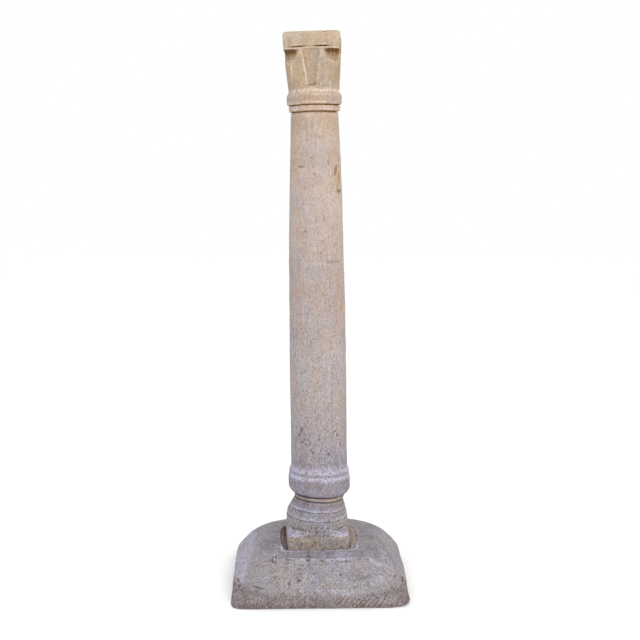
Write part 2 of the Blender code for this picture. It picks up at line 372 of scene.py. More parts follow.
@dataclass
class Column:
    """The column, carved in one: square foot, drum, bell, bulb, shaft, collar, capital and abacus."""

    around: int = 208
    foot_bottom: float = BASE_HEIGHT - SOCKET_DEPTH + 0.0003
    foot_half: float = 0.0930
    foot_taper: float = 0.0010
    square: float = 16.0            # squareness of the foot and the abacus
    corner_slope_top: float = 0.1680
    drum_radius: float = 0.0915
    ovolo_in: float = 0.0060
    step: float = 0.0014
    line_depth: float = 0.0022      # lines that part the mouldings of the lower bell
    line_height: float = 0.0030
    neck_radius: float = 0.0718
    groove_depth: float = 0.0072
    groove_height: float = 0.0050
    ring_radius: float = 0.0745
    ring_height: float = 0.0085
    bulb_radius: float = 0.0912
    bowl_height: float = 0.0230
    lower_ledge: float = 0.3150
    upper_ledge: float = 0.3360
    ledge_height: float = 0.0090
    lower_ledge_in: float = 0.0026
    upper_ledge_in: float = 0.0044
    shaft_radius: float = 0.0833
    shaft_top_radius: float = 0.0680
    swell: float = 2.75
    fillet_radius: float = 0.0738
    fillet_height: float = 0.0135
    collar_radius: float = 0.0787
    collar_height: float = 0.0290
    collar_round: float = 0.0040
    bell_foot_half: float = 0.0724
    bell_mouth_half: float = 0.0786
    bell_corner: float = 7.0
    flute_depth: float = 0.0062
    flute_rim: float = 0.0011
    flute_top_share: float = 0.36
    flute_foot_share: float = 0.15
    flute_foot: float = 0.085       # share of the bell's height where the flute ends
    flute_round: float = 0.19       # share where its rounded foot begins
    scoop_depth: float = 0.0095
    lip_height: float = 0.0042
    lip_shade_foot: float = 1.520      # where the ochre stain and brown painted shade under the corners start, and where the shade deepens
    lip_shade_deep: float = 1.534
    abacus_bottom: float = 1.5600
    abacus_half: float = 0.0805
    abacus_taper: float = 0.0015
    abacus_groove: float = 0.0058
    abacus_arris: float = 0.0016
    foot_offset: float = -0.0060
    bulb_offset: float = 0.0012
    shaft_lean: float = 0.0158
    capital_lean: float = 0.0037
    capital_lean_start: float = 1.30
    lower_tilt: float = -0.045
    capital_tilt: float = 0.023
    foot_turn: float = 0.040
    capital_turn: float = -0.090
    marks: tuple[Mark, ...] = field(default_factory=tuple)

    def centre_at(self, height: np.ndarray) -> np.ndarray:
        """Sideways place of the middle: a step over the lower bell, then the lean of the shaft."""
        rise = (height - DRUM_TOP) / (BELL_TOP + 0.02 - DRUM_TOP)
        low = self.foot_offset + (self.bulb_offset - self.foot_offset) * ease(rise)
        lean = np.clip((height - self.upper_ledge) / (TOTAL_HEIGHT - self.upper_ledge), 0.0, 1.0)
        late = (height - self.capital_lean_start) / (TOTAL_HEIGHT - self.capital_lean_start)
        return low - self.shaft_lean * lean - self.capital_lean * np.clip(late, 0.0, 1.0) ** 2

    def tilt_at(self, height: np.ndarray) -> np.ndarray:
        """Rise over run to the right of the mouldings, eased in and out with the height."""
        rise = ease((height - self.corner_slope_top) / 0.030)
        fall = ease((height - OVOLO_TOP) / (SHAFT_BOTTOM + 0.02 - OVOLO_TOP))
        start = SHAFT_BOTTOM + 0.10
        high = self.capital_tilt * ease((height - start) / (COLLAR_BOTTOM - start))
        return self.lower_tilt * rise * (1.0 - fall) + high

    def turn_at(self, height: np.ndarray) -> np.ndarray:
        """Turn about the upright axis, eased from the foot's to the capital's."""
        share = ease((height - DRUM_TOP) / (CAPITAL_BOTTOM - DRUM_TOP))
        return self.foot_turn + (self.capital_turn - self.foot_turn) * share

    def flute_reach(self, side: np.ndarray, share: np.ndarray) -> np.ndarray:
        """How far a place is out from the flute's middle, in widths of the face.

        The flute's half width grows evenly with the height. Under the height where its round foot
        begins, the drop counts too, so that the edge closes as an ellipse.

        Args:
            side: Place across the face, 0 in its middle.
            share: Share of the bell's height.

        Returns:
            Distance from the flute's edge, under 0 inside, as a share of half the face.
        """
        wide = self.flute_foot_share + (self.flute_top_share - self.flute_foot_share) * share
        drop = np.maximum(self.flute_round - share, 0.0) / (self.flute_round - self.flute_foot)
        return (np.hypot(side / wide, drop) - 1.0) * wide

    def foot(self, profile: Profile) -> None:
        """Square foot, with its corners sloping up to the round drum."""
        half = self.foot_half
        profile.course(np.full(3, self.foot_bottom), half * np.array([0.35, 0.7, 0.96]), self.square)
        share = np.linspace(0.0, 1.0, 22)
        heights = self.foot_bottom + (FOOT_TOP - self.foot_bottom) * share
        rounding = 0.0016 * (share ** 24 + (1.0 - share) ** 24)
        profile.course(heights, half - self.foot_taper * share - rounding, self.square)
        share = np.linspace(0.04, 1.0, 10)[:, None]
        slab = (half - self.foot_taper) * square_reach(profile.angle[None, :], self.square)
        over = np.maximum(slab - self.drum_radius, 0.0)
        heights = FOOT_TOP + (self.corner_slope_top - FOOT_TOP) * share[:, 0]
        profile.rows(heights, self.drum_radius - 0.0012 * (1.0 - share) + over * (1.0 - share))

    def lower_bell(self, profile: Profile) -> None:
        """Drum, rounded step and flare, parted by thin lines."""
        tall = self.line_height
        profile.course(np.linspace(self.corner_slope_top, DRUM_TOP, 11)[1:], self.drum_radius)
        step_foot = self.drum_radius - self.step
        profile.groove(DRUM_TOP, tall, self.drum_radius, step_foot, self.line_depth)
        share = np.linspace(0.0, 1.0, 13)
        heights = DRUM_TOP + tall + (OVOLO_TOP - DRUM_TOP - tall) * share
        profile.course(heights, step_foot - self.ovolo_in * share ** 2)
        step_top = step_foot - self.ovolo_in
        waist = step_top - self.step
        profile.groove(OVOLO_TOP, tall, step_top, waist, self.line_depth)
        heights = OVOLO_TOP + tall + (BELL_TOP - OVOLO_TOP - tall) * share
        profile.course(heights, waist + (self.neck_radius - waist) * share ** 1.15)

    def bulb(self, profile: Profile) -> None:
        """Neck ring between two grooves, then the bowl, the side and the two sloping ledges."""
        deep = self.groove_depth
        ring_side = self.ring_radius - self.step
        profile.groove(BELL_TOP, self.groove_height, self.neck_radius, ring_side, deep)
        share = np.linspace(0.0, 1.0, 7)
        ring_foot = BELL_TOP + self.groove_height
        heights = ring_foot + self.ring_height * share
        profile.course(heights, ring_side + self.step * np.sin(np.pi * share))
        ring_top = ring_foot + self.ring_height
        profile.groove(ring_top, self.groove_height, ring_side, self.ring_radius, deep)
        bowl_foot = ring_top + self.groove_height
        angle = np.linspace(0.0, 0.5 * np.pi, 14)
        heights = bowl_foot + self.bowl_height * (1.0 - np.cos(angle))
        reach = self.bulb_radius - self.ring_radius
        profile.course(heights, self.ring_radius + reach * np.sin(angle))
        side = np.linspace(bowl_foot + self.bowl_height, self.lower_ledge, 10)[1:]
        profile.course(side, self.bulb_radius)
        share = np.linspace(0.0, 1.0, 6)[1:]
        band = self.bulb_radius - self.lower_ledge_in
        heights = self.lower_ledge + self.ledge_height * share
        profile.course(heights, self.bulb_radius - self.lower_ledge_in * share)
        heights = np.linspace(self.lower_ledge + self.ledge_height, self.upper_ledge, 6)[1:]
        profile.course(heights, band - 0.0006 * np.linspace(0.0, 1.0, 5))
        heights = self.upper_ledge + self.ledge_height * share
        profile.course(heights, band - 0.0006 - self.upper_ledge_in * share)

    def shaft(self, profile: Profile) -> None:
        """Shaft that stays full low down and narrows by a power of its height."""
        share = np.linspace(0.0, 1.0, 196)
        heights = SHAFT_BOTTOM + (SHAFT_TOP - SHAFT_BOTTOM) * share
        narrowing = (self.shaft_radius - self.shaft_top_radius) * share ** self.swell
        profile.course(heights, self.shaft_radius - narrowing)

    def collar(self, profile: Profile) -> None:
        """Fillet between two grooves and the collar band with rounded edges."""
        deep = self.groove_depth
        tall = self.groove_height
        fillet_foot = SHAFT_TOP + tall
        fillet_top = fillet_foot + self.fillet_height
        profile.groove(SHAFT_TOP, tall, self.shaft_top_radius, self.fillet_radius - self.step, deep)
        share = np.linspace(0.0, 1.0, 7)
        heights = fillet_foot + self.fillet_height * share
        profile.course(heights, self.fillet_radius - self.step * (1.0 - share) ** 2)
        edge = self.collar_radius - 0.6 * self.collar_round
        profile.groove(fillet_top, COLLAR_BOTTOM - fillet_top, self.fillet_radius, edge, deep)
        share = np.linspace(0.0, 1.0, 15)
        rounding = 0.6 * self.collar_round * np.abs(2.0 * share - 1.0) ** 7
        profile.course(COLLAR_BOTTOM + self.collar_height * share, self.collar_radius - rounding)

    def capital(self, profile: Profile) -> None:
        """Bell from round to square, with a flute on each face and a hollow under each corner.

        The flute sinks smoothly from a rim, raised on its left, narrow and round below and wide above.
        """
        side = side_place(profile.angle)[None, :]
        across = np.abs(side)
        share = np.linspace(0.0, 1.0, 62)[:, None]
        out = self.flute_reach(across, share)
        flute = self.flute_depth * ease(-out / 0.17)
        rim = self.flute_rim * bump_at(out, 0.015, 0.055) * (1.0 - 0.8 * ease(0.5 + side / 0.12))
        drop = ease((across - 0.42) / 0.35) * ease((share - 0.80 + 0.16 * across) / 0.16)
        half = self.bell_foot_half + (self.bell_mouth_half - self.bell_foot_half) * share
        reach = half - flute + rim - self.scoop_depth * drop * (1.0 - ease((share - 0.97) / 0.03))
        corner = 2.0 + (self.bell_corner - 2.0) * ease(1.25 * share)
        heights = CAPITAL_BOTTOM + (CAPITAL_TOP - CAPITAL_BOTTOM) * share[:, 0]
        profile.rows(heights, reach * square_reach(profile.angle[None, :], corner))

    def abacus(self, profile: Profile) -> None:
        """Lip, the groove under the abacus, the slab and its flat top."""
        mouth = self.bell_mouth_half
        share = np.linspace(0.2, 1.0, 4)
        profile.course(CAPITAL_TOP + self.lip_height * share, mouth + 0.0008, 11.0)
        low = CAPITAL_TOP + self.lip_height
        side = side_place(profile.angle)[None, :]
        strokes = np.maximum(0.75 * bump_at(side, -0.46, 0.46), bump_at(side, 0.40, 0.44))
        corner = (self.abacus_half - self.abacus_arris) * square_reach(0.25 * np.pi, self.square)
        top = TOTAL_HEIGHT - self.capital_tilt * corner * np.cos(0.25 * np.pi - abs(self.capital_turn))
        share = np.linspace(0.0, 1.0, 7)[1:-1, None]
        heights = low + (self.abacus_bottom - low) * share[:, 0]
        inner = mouth - self.abacus_groove * np.sin(np.pi * share) * strokes
        profile.rows(heights, inner * square_reach(profile.angle[None, :], self.square))
        share = np.linspace(0.0, 1.0, 17)
        side = self.abacus_bottom + (top - self.abacus_arris - self.abacus_bottom) * share
        profile.course(side, self.abacus_half - self.abacus_taper * (1.0 - share), self.square)
        angle = np.linspace(0.0, 0.5 * np.pi, 5)[1:]
        inner = self.abacus_half - self.abacus_arris
        rounded = top - self.abacus_arris * (1.0 - np.sin(angle))
        profile.course(rounded, inner + self.abacus_arris * np.cos(angle), self.square)
        profile.course(np.full(12, top), inner * np.linspace(0.95, 0.08, 12), self.square)

    def rings(self) -> tuple[np.ndarray, np.ndarray]:
        """Stack all courses, turn, tilt and shift each ring.

        Returns:
            The rings, and the height that each point has before the tilt.
        """
        profile = Profile(face_angles(self.around))
        for course in (self.foot, self.lower_bell, self.bulb, self.shaft, self.collar,
                       self.capital, self.abacus):
            course(profile)
        heights, reach = profile.stacked()
        level = heights[:, None]
        turned = profile.angle[None, :] + self.turn_at(level)
        x = reach * np.cos(turned)
        y = reach * np.sin(turned)
        z = level + self.tilt_at(level) * x
        return np.stack([x + self.centre_at(level), y, z], axis=-1), level + 0.0 * x

    def carve(self, surface: Surface, level: np.ndarray) -> None:
        """Roughen the turned form as a hand and the weather leave it.

        Args:
            surface: The column's surface.
            level: Height of each point before the tilt.
        """
        points = surface.points
        grain = Grain(11)
        on_shaft = ease((level - SHAFT_BOTTOM) / 0.01) * ease((SHAFT_TOP - level) / 0.01)
        low = 1.0 - ease((level - 0.30) / 0.30)
        held = ease((level - self.foot_bottom - 0.004) / 0.01)
        held = held * (1.0 - ease((level - (TOTAL_HEIGHT - 0.006)) / 0.003))
        wander = 0.0011 * grain.at(points * np.array([1.0, 1.0, 0.25]), 0.034)
        points[..., 2] += wander * held * (1.0 - on_shaft)
        arch = bump_at(level, self.abacus_bottom - 0.003, 0.020)
        aside = np.clip((points[..., 0] - self.centre_at(level)) / 0.075, -1.0, 1.0)
        points[..., 2] -= 0.0024 * arch * aside ** 2
        waves = 0.0009 * grain.layered(points, 0.11, 2)
        lumps = 0.00045 * grain.layered(points, 0.028, 2) * (1.0 + 0.8 * low)
        rough = 0.00022 * grain.layered(points, 0.0080, 2) * (1.0 + 1.6 * low)
        on_bell = bump_at(level, 0.5 * (CAPITAL_BOTTOM + CAPITAL_TOP), 0.060)
        tooling = 0.00032 * grain.at(points, (0.0036, 0.0036, 0.050)) * np.maximum(on_shaft, on_bell)
        pits = Grain(23).at(points, 0.0044)
        sunk = ease((pits - 0.68) / 0.14) * (1.0 - 0.8 * ease((level - 1.39) / 0.01))
        coarse = ease((Grain(29).at(points, 0.0042) - 0.40) / 0.3) * (level < DRUM_TOP) * (level > 0.11)
        surface.push((waves + lumps + rough + tooling - 0.0008 * sunk - 0.0007 * coarse) * held)
        surface.masks["grime_and_shade"] += ((0.22 + 0.30 * low) * sunk + 0.18 * coarse) * held
        surface.masks["hewn"] += 0.50 * bump_at(level, 0.392, 0.045) * ease(0.5 + points[..., 0] / 0.05)

    def wear(self, surface: Surface, level: np.ndarray) -> None:
        """Round the upright corners of the foot and the abacus and knock off their arrises.

        Args:
            surface: The column's surface.
            level: Height of each point before the tilt.
        """
        points = surface.points
        local_x = points[..., 0] - self.centre_at(level)
        spread = np.hypot(local_x, points[..., 1])
        edge = ease((spread - 0.098) / 0.012)
        nick = Grain(31).layered(points, 0.012, 2)
        on_abacus = ease((level - self.abacus_bottom) / 0.002)
        on_foot = 1.0 - ease((level - FOOT_TOP) / 0.004)
        surface.push(-edge * ease((nick - 0.10) / 0.45) * (0.0011 * on_abacus + 0.0022 * on_foot))
        corner = ease((np.abs(local_x) - 0.071) / 0.010) * ease((level - 1.588) / 0.009)
        surface.points[..., 2] -= 0.0012 * corner
        surface.points[..., 0] -= np.sign(local_x) * 0.0030 * corner * ease((np.abs(local_x) - 0.076) / 0.008)

    def weather(self, surface: Surface, level: np.ndarray) -> None:
        """Paint soiling into hollows, pale bloom on edges and stains where water ran, with painted highlights
        on the ledges, the steps and the flute's left rim, and painted shade in the flutes and under the
        corners of the abacus.

        Args:
            surface: The column's surface.
            level: Height of each point before the tilt.
        """
        points = surface.points
        grime_and_shade, bloom_and_highlight, rust = (surface.masks[name] for name in ("grime_and_shade", "bloom_and_highlight", "rust"))
        grain = Grain(47)
        mottle = grain.layered(points, 0.020, 3)
        hollow = surface.hollow(8)
        turned = np.arctan2(points[..., 1], points[..., 0] - self.centre_at(level)) - self.turn_at(level)
        side = side_place(turned)
        in_bell = ease((level - CAPITAL_BOTTOM + 0.006) / 0.004) * ease((CAPITAL_TOP + 0.004 - level) / 0.004)
        grime_and_shade += 1.1 * ease(hollow / 0.0011 - 0.10) * (0.85 + 0.3 * mottle) * (1.0 - in_bell)
        bloom_and_highlight += 0.50 * ease(-hollow / 0.0009 - 0.22) * (0.6 + 0.6 * mottle)
        for middle in (SHAFT_TOP + 0.5 * self.groove_height, COLLAR_BOTTOM - 0.0016):
            rust += 1.0 * bump_at(level, middle, 0.0052)
            grime_and_shade += 0.55 * bump_at(level, middle, 0.0042)
        strokes = np.maximum(0.8 * bump_at(side, -0.46, 0.44), bump_at(side, 0.40, 0.42))
        cut = bump_at(level, self.abacus_bottom - 0.0026, 0.0042) * strokes
        rust += 1.0 * cut
        grime_and_shade += 0.65 * cut
        # Under each corner of the abacus: an ochre stain, and brown painted shade that deepens up to the lip,
        # weaker on the right.
        outer = np.abs(side)
        under = ease((outer - 0.40) / 0.24) * ease((level - self.lip_shade_foot - 0.015 * (1.0 - outer)) / 0.018)
        under = under * ease((CAPITAL_TOP + 0.0012 - level) / 0.002)
        rust += 1.0 * under
        shade_to_lip = 0.45 + 1.10 * ease((level - self.lip_shade_deep) / 0.012)
        grime_and_shade += shade_to_lip * under * (0.8 + 0.6 * mottle) * (1.0 - 0.35 * ease(points[..., 0] / 0.05))
        share = (level - CAPITAL_BOTTOM) / (CAPITAL_TOP - CAPITAL_BOTTOM)
        on_bell = (share > 0.0) & (level < CAPITAL_TOP - 0.001)
        out = self.flute_reach(side, share)
        left = ease(0.5 - side / 0.12)
        # Painted light on the flute: a highlight along its raised left rim, and painted shade inside the
        # flute, most beside that rim and at its rounded foot.
        bloom_and_highlight += 0.55 * bump_at(out, 0.012, 0.036) * (0.14 + 0.86 * left) * on_bell
        grime_and_shade += (0.12 + 0.14 * left) * bump_at(out, -0.055, 0.050) * on_bell
        grime_and_shade += 0.50 * bump_at(out, -0.06, 0.07) * (share < self.flute_round) * on_bell
        right = ease((points[..., 0] - self.centre_at(level) - 0.030) / 0.04) * ease((level - 1.445) / 0.03)
        rust += 0.34 * right * on_bell * (points[..., 1] < 0.0)
        bloom_and_highlight += 0.90 * bump_at(level, CAPITAL_BOTTOM - 0.001, 0.0115) * (0.9 + 0.3 * mottle)
        aside = 1.0 - 0.9 * bump_at(side, 0.0, 0.42)
        bloom_and_highlight += 0.26 * bump_at(level, CAPITAL_TOP + 0.003, 0.0040) * aside
        low = 1.0 - ease((level - 0.30) / 0.20)
        grime_and_shade += (0.08 + 0.20 * low) * ease((grain.layered(points, 0.045, 3) - 0.05) / 0.5)
        # Painted highlights: pale bands on the tops of the two sloping ledges, with the soiling cleared from
        # the upper one.
        grime_and_shade *= 1.0 - 0.85 * bump_at(level, 0.346, 0.016)
        ledges = bump_at(level, self.lower_ledge + 0.7 * self.ledge_height, 0.0095)
        ledges += 1.15 * bump_at(level, self.upper_ledge + 0.6 * self.ledge_height, 0.0080)
        bloom_and_highlight += 0.85 * ledges * (0.85 + 0.3 * mottle)
        # Painted highlights on the two rounded steps of the lower bell.
        steps = bump_at(level, OVOLO_TOP + 0.0065, 0.006) + bump_at(level, DRUM_TOP + 0.0080, 0.0075)
        bloom_and_highlight += 0.66 * steps * (0.75 + 0.6 * mottle)
        lines = bump_at(level, OVOLO_TOP + 0.0010, 0.0045) + bump_at(level, DRUM_TOP + 0.0010, 0.0045)
        lines += bump_at(level, BELL_TOP - 0.003, 0.008)
        rust += 0.20 * lines
        grime_and_shade += 0.20 * lines
        spandrel = ease((level - FOOT_TOP + 0.001) / 0.002)
        spandrel *= ease((self.corner_slope_top + 0.002 - level) / 0.004)
        bloom_and_highlight += 0.70 * spandrel * ease((np.abs(side) - 0.30) / 0.25) * (0.8 + 0.5 * mottle)
        ring = BELL_TOP + 0.5 * self.ring_height + self.groove_height
        rust += 0.55 * bump_at(level, ring, 0.0085)
        bloom_and_highlight *= 1.0 - 0.6 * bump_at(level, ring, 0.007)
        gap = 0.5 * (self.ring_height + self.groove_height)
        grime_and_shade += 0.55 * (bump_at(level, ring + gap, 0.0045) + bump_at(level, ring - gap, 0.0040))
        slab = ease((level - 0.10) / 0.004) * ease((FOOT_TOP + 0.001 - level) / 0.002)
        rust += 0.50 * slab * (0.8 + 0.5 * mottle)
        bloom_and_highlight *= 1.0 - slab
        grime_and_shade *= 1.0 - 0.5 * slab

    def dress(self, material: bpy.types.Material) -> bpy.types.Object:
        """Build, carve and paint the column.

        Args:
            material: The column's finish.

        Returns:
            The finished piece.
        """
        rings, level = self.rings()
        surface = Surface(rings)
        self.carve(surface, level)
        self.wear(surface, level)
        surface.add_marks(self.marks, Grain(53))
        self.weather(surface, level)
        surface.points = np.clip(surface.points, np.array(CAD_BOX[0]), np.array(CAD_BOX[1]))
        surface.points[..., 2] = np.maximum(surface.points[..., 2], self.foot_bottom)
        return surface.build("column_stone", material)


@dataclass
class BaseBlock:
    """The domed base block with the square socket sunk in its top."""

    around: int = 496
    half: float = 0.2555
    wall_height: float = 0.050
    wall_lean: float = 0.0035
    ground_corner: float = 16.0
    shoulder_corner: float = 6.3
    side_rise: float = 0.217
    side_curve: float = 0.857
    dome_reach: float = 0.310
    dome_curve: float = 6.1
    arris: float = 0.006
    corner_height: float = 0.034
    foot_bevel: float = 0.004
    worn_lift: float = 0.009
    worn_spread: float = 0.16
    socket_half: float = 0.117
    socket_corner: float = 3.4
    socket_front: float = 1.6       # how much squarer its front is
    foot_half: float = 0.0930       # the column's foot, which the soil in the socket comes up to
    foot_square: float = 16.0
    foot_offset: float = -0.0060
    foot_turn: float = 0.040
    soil_height: float = 0.1268
    front_dip: float = 0.0096       # how far the top is worn down in front of the foot
    marks: tuple[Mark, ...] = field(default_factory=tuple)

    def socket_edge(self, angle: np.ndarray) -> np.ndarray:
        """Distance from the middle to the socket's rim, squarer in front than behind."""
        front = ease((-np.sin(angle) - 0.30) / 0.25)
        return self.socket_half * square_reach(angle, self.socket_corner + self.socket_front * front)

    def top_height(self, reach: np.ndarray, shoulder: np.ndarray) -> np.ndarray:
        """Height over the ground: the lower of the side slope and the dome, with a soft arris.

        Args:
            reach: Distance from the middle.
            shoulder: Distance at which the upright wall ends in that direction.

        Returns:
            Heights, never under the height kept at the corners.
        """
        share = np.clip(reach / shoulder, 0.0, 1.0)
        side = self.wall_height + self.side_rise * (1.0 - share) ** self.side_curve
        dome = BASE_HEIGHT * (1.0 - (reach / self.dome_reach) ** self.dome_curve)
        worn = 0.5 * (side + dome - np.hypot(side - dome, self.arris))
        return 0.5 * (worn + self.corner_height + np.hypot(self.corner_height - worn, self.arris))

    def rings(self) -> np.ndarray:
        """Rings from the underside out, up the wall, over the top and down into the socket."""
        angle = face_angles(self.around)[None, :]
        outer = self.half * square_reach(angle, self.ground_corner)
        shoulder = (self.half - self.wall_lean) * square_reach(angle, self.shoulder_corner)
        rim = self.socket_edge(angle)
        away = np.angle(np.exp(1j * (angle + 0.25 * np.pi)))
        wear = self.worn_lift * ease(1.0 - np.abs(away) / self.worn_spread)
        foot = outer - self.foot_bevel - 1.5 * wear
        reaches = [foot * share for share in (0.3, 0.6, 0.85, 0.97)]
        heights = [0.0 * foot] * 4
        share = np.linspace(0.0, 0.5 * np.pi, 5)[:, None]
        wall = outer - 0.2 * wear
        reaches.append(foot + (wall - foot) * np.sin(share))
        heights.append((self.foot_bevel + wear) * (1.0 - np.cos(share)))
        share = np.linspace(0.0, 1.0, 19)[1:, None]
        wall_foot = self.foot_bevel + wear
        reaches.append(wall + (shoulder - wall) * share)
        heights.append(wall_foot + (self.top_height(shoulder, shoulder) - wall_foot) * share)
        share = np.linspace(0.0, 1.0, 126)[1:, None]
        reach = shoulder + (rim - shoulder) * share
        reaches.append(reach)
        heights.append(self.top_height(reach, shoulder))
        rings = [np.broadcast_to(part, (np.shape(part)[0], self.around)) for part in reaches]
        reach = np.concatenate(rings)
        height = np.concatenate([np.broadcast_to(part, (np.shape(part)[0], self.around)) for part in heights])
        block = np.stack([reach * np.cos(angle), reach * np.sin(angle), height], axis=-1)
        x, y = block[..., 0], block[..., 1]
        front = 0.190 - 0.9 * x ** 2
        dip = ease((0.160 - np.abs(x)) / 0.050) * ease((-y - 0.074) / 0.024) * ease((front + y) / 0.030)
        block[..., 2] -= self.front_dip * (1.0 - 2.0 * x) * dip * (block[..., 2] > 0.09)
        return np.concatenate([block, self.socket_rings(angle, block[-1])])

    def socket_rings(self, angle: np.ndarray, rim: np.ndarray) -> np.ndarray:
        """Rings from the rim down the socket's wall, over the soil and under the foot.

        Args:
            angle: Directions of the points round, in one row.
            rim: The last ring, on the edge of the socket.

        Returns:
            The rings, straight between the rim, the soil's edges and the floor.
        """
        foot = self.foot_half * square_reach(angle, self.foot_square)
        turned = angle + self.foot_turn

        def outline(clearance: float, height: np.ndarray | float) -> np.ndarray:
            """The foot's outline grown by a clearance, at a height."""
            reach = foot + clearance
            x = reach * np.cos(turned) + self.foot_offset
            return np.stack([x, reach * np.sin(turned), height + 0.0 * x], axis=-1)[0]

        lower = self.soil_height - 0.0190 * ease((-np.sin(angle) - 0.56) / 0.25)
        lower = lower - 0.0050 * ease((-np.cos(angle) - 0.60) / 0.3)
        stops = [rim, rim * np.array([0.965, 0.965, 0.0]), outline(0.0012, lower),
                 outline(0.0010, BASE_HEIGHT - SOCKET_DEPTH), outline(-0.080, BASE_HEIGHT - SOCKET_DEPTH)]
        stops[1][:, 2] = (lower + 0.002)[0]
        made = []
        for first, second, count in zip(stops, stops[1:], (12, 12, 3, 5)):
            share = (np.arange(count) + 1.0)[:, None, None] / count
            made.append(first + (second - first) * share)
        return np.concatenate(made)

    def carve(self, surface: Surface) -> None:
        """Rough hew the block: lumps, pits, and chisel strokes that slant on the lower sides.

        Args:
            surface: The base block's surface.
        """
        points = surface.points
        soft = surface.smoothed(14)
        at_shoulder = bump_at(points[..., 2], 0.048, 0.030)[..., None]
        points += (soft - points) * at_shoulder
        grain = Grain(61)
        reach = np.maximum(np.abs(points[..., 0]), np.abs(points[..., 1]))
        flat = (reach < self.foot_half + 0.010) & (points[..., 2] < self.soil_height - 0.0196)
        held = ease(points[..., 2] / 0.004) * ~flat
        lumps = 0.0015 * grain.layered(points, 0.060, 2) + 0.0007 * grain.layered(points, 0.018, 3)
        strokes = self.strokes(points, grain)
        edge = 0.024 + 0.010 * grain.layered(points, 0.05, 2)
        low = (1.0 - ease((points[..., 2] - edge) / 0.028)) * (reach > 0.16)
        hewn = 0.0007 * strokes * (0.20 + 0.80 * low)
        side = side_place(np.arctan2(points[..., 1], points[..., 0]))
        groups = np.maximum(0.6 * bump_at(side, -0.62, 0.42), bump_at(side, 0.52, 0.46))
        uneven = 0.8 + 0.5 * grain.layered(points, 0.022, 2)
        surface.masks["hewn"] += low * (0.15 + 1.0 * groups) * uneven
        pits = ease((Grain(67).at(points, 0.0048) - 0.74) / 0.14)
        corner = ease((-points[..., 0] - 0.205) / 0.02) * (1.0 - ease((points[..., 2] - 0.045) / 0.012))
        pits += corner * ease((Grain(67).at(points, 0.0070) - 0.30) / 0.2)
        surface.push((lumps + hewn - 0.0011 * pits - 0.0008) * held)
        surface.masks["grime_and_shade"] += (0.42 * pits + 0.30 * low) * held
        # Painted shade: darker within 18 mm of the ground, where the block's foot curls under.
        surface.masks["grime_and_shade"] += 0.36 * ease(1.0 - points[..., 2] / 0.018) * (reach > 0.2)
        surface.masks["grime_and_shade"] += 0.22 * ease((points[..., 0] - 0.20) / 0.03) * low

    @staticmethod
    def strokes(points: np.ndarray, grain: Grain) -> np.ndarray:
        """Broad chisel strokes: noise stretched along a slant that leans right on the right side.

        Args:
            points: Places of the surface.
            grain: Noise to stretch.

        Returns:
            Values of about -1 to 1.
        """
        run = points[..., 0] + points[..., 1]
        height = points[..., 2]
        steep = np.stack([run - 0.35 * height, 0.0 * run, height + 0.35 * run], axis=-1)
        slant = np.stack([run - 1.05 * height, 0.0 * run, height + 0.95 * run], axis=-1)
        right = ease((points[..., 0] + 0.02) / 0.06)
        first = grain.at(steep, (0.0075, 1.0, 0.040))
        second = grain.at(slant + 0.3, (0.0085, 1.0, 0.090))
        return first * (1.0 - right) + second * right

    def weather(self, surface: Surface) -> None:
        """Paint soiling into hollows, bloom on ridges, and soil round and in the socket, with painted shade
        in the socket and painted light on the block's left face.

        Args:
            surface: The base block's surface.
        """
        points = surface.points
        grime_and_shade, bloom_and_highlight, rust = (surface.masks[name] for name in ("grime_and_shade", "bloom_and_highlight", "rust"))
        x, y, z = (points[..., axis] for axis in range(3))
        grain = Grain(71)
        hollow = surface.hollow(6)
        mottle = grain.layered(points, 0.030, 3)
        high = z > 0.09
        grime_and_shade += 0.8 * ease(hollow / 0.0016) * (0.8 + 0.4 * mottle)
        bloom_and_highlight += 0.50 * ease(-hollow / 0.0013 - 0.15) * (0.7 + 0.7 * mottle)
        angle = np.arctan2(y, x)
        reach = np.hypot(x, y) / self.socket_edge(angle) * self.socket_half
        inside = (reach < self.socket_half - 0.0012) & high
        # In the socket: a soil stain, and painted shade that darkens it towards the left and most in the gap
        # left of the foot.
        gap = ease((-x - 0.088) / 0.006) * ease((0.110 + x) / 0.004)
        grime_and_shade += (0.10 + 0.22 * ease((-x - 0.06) / 0.03) + 0.6 * gap) * inside
        rust += 0.75 * inside * (0.8 + 0.5 * mottle)
        around = bump_at(reach, self.socket_half + 0.020, 0.042) * high
        grime_and_shade += 0.14 * around * (0.8 + 0.8 * mottle)
        edge = 0.183 - 0.9 * x ** 2 + 0.004 * mottle
        ledge = ease((0.140 - np.abs(x)) / 0.03) * ease((-y - 0.112) / 0.01) * high
        grime_and_shade += 0.09 * ledge * ease((edge + y) / 0.008)
        along = ease((0.175 - np.abs(x)) / 0.03) * high
        chips = grain.layered(points, 0.012, 2)
        bloom_and_highlight += 1.1 * bump_at(-y, edge + 0.003, 0.0060) * along * ease((chips + 0.20) / 0.4)
        grime_and_shade += 0.50 * bump_at(-y, edge + 0.007, 0.0080) * along * ease((-chips - 0.05) / 0.3)
        bloom_and_highlight *= 1.0 - 0.7 * bump_at(reach, self.socket_half + 0.003, 0.010) * high
        front = ease((-y - 0.085) / 0.02)
        off = np.abs(reach - self.socket_half - 0.0004 - 0.0032 * front)
        line = ease(1.0 - off / (0.0030 + 0.0040 * front))
        bloom_and_highlight += line * high * (1.0 + 0.6 * mottle)
        second = bump_at(reach, self.socket_half - 0.0120, 0.0032) * ease((x - 0.05) / 0.03) * high
        bloom_and_highlight += 0.55 * second
        patches = grain.layered(points, 0.050, 3)
        grime_and_shade += 0.26 * ease((patches - 0.05) / 0.5)
        rust += 0.12 * ease((-patches - 0.05) / 0.5)
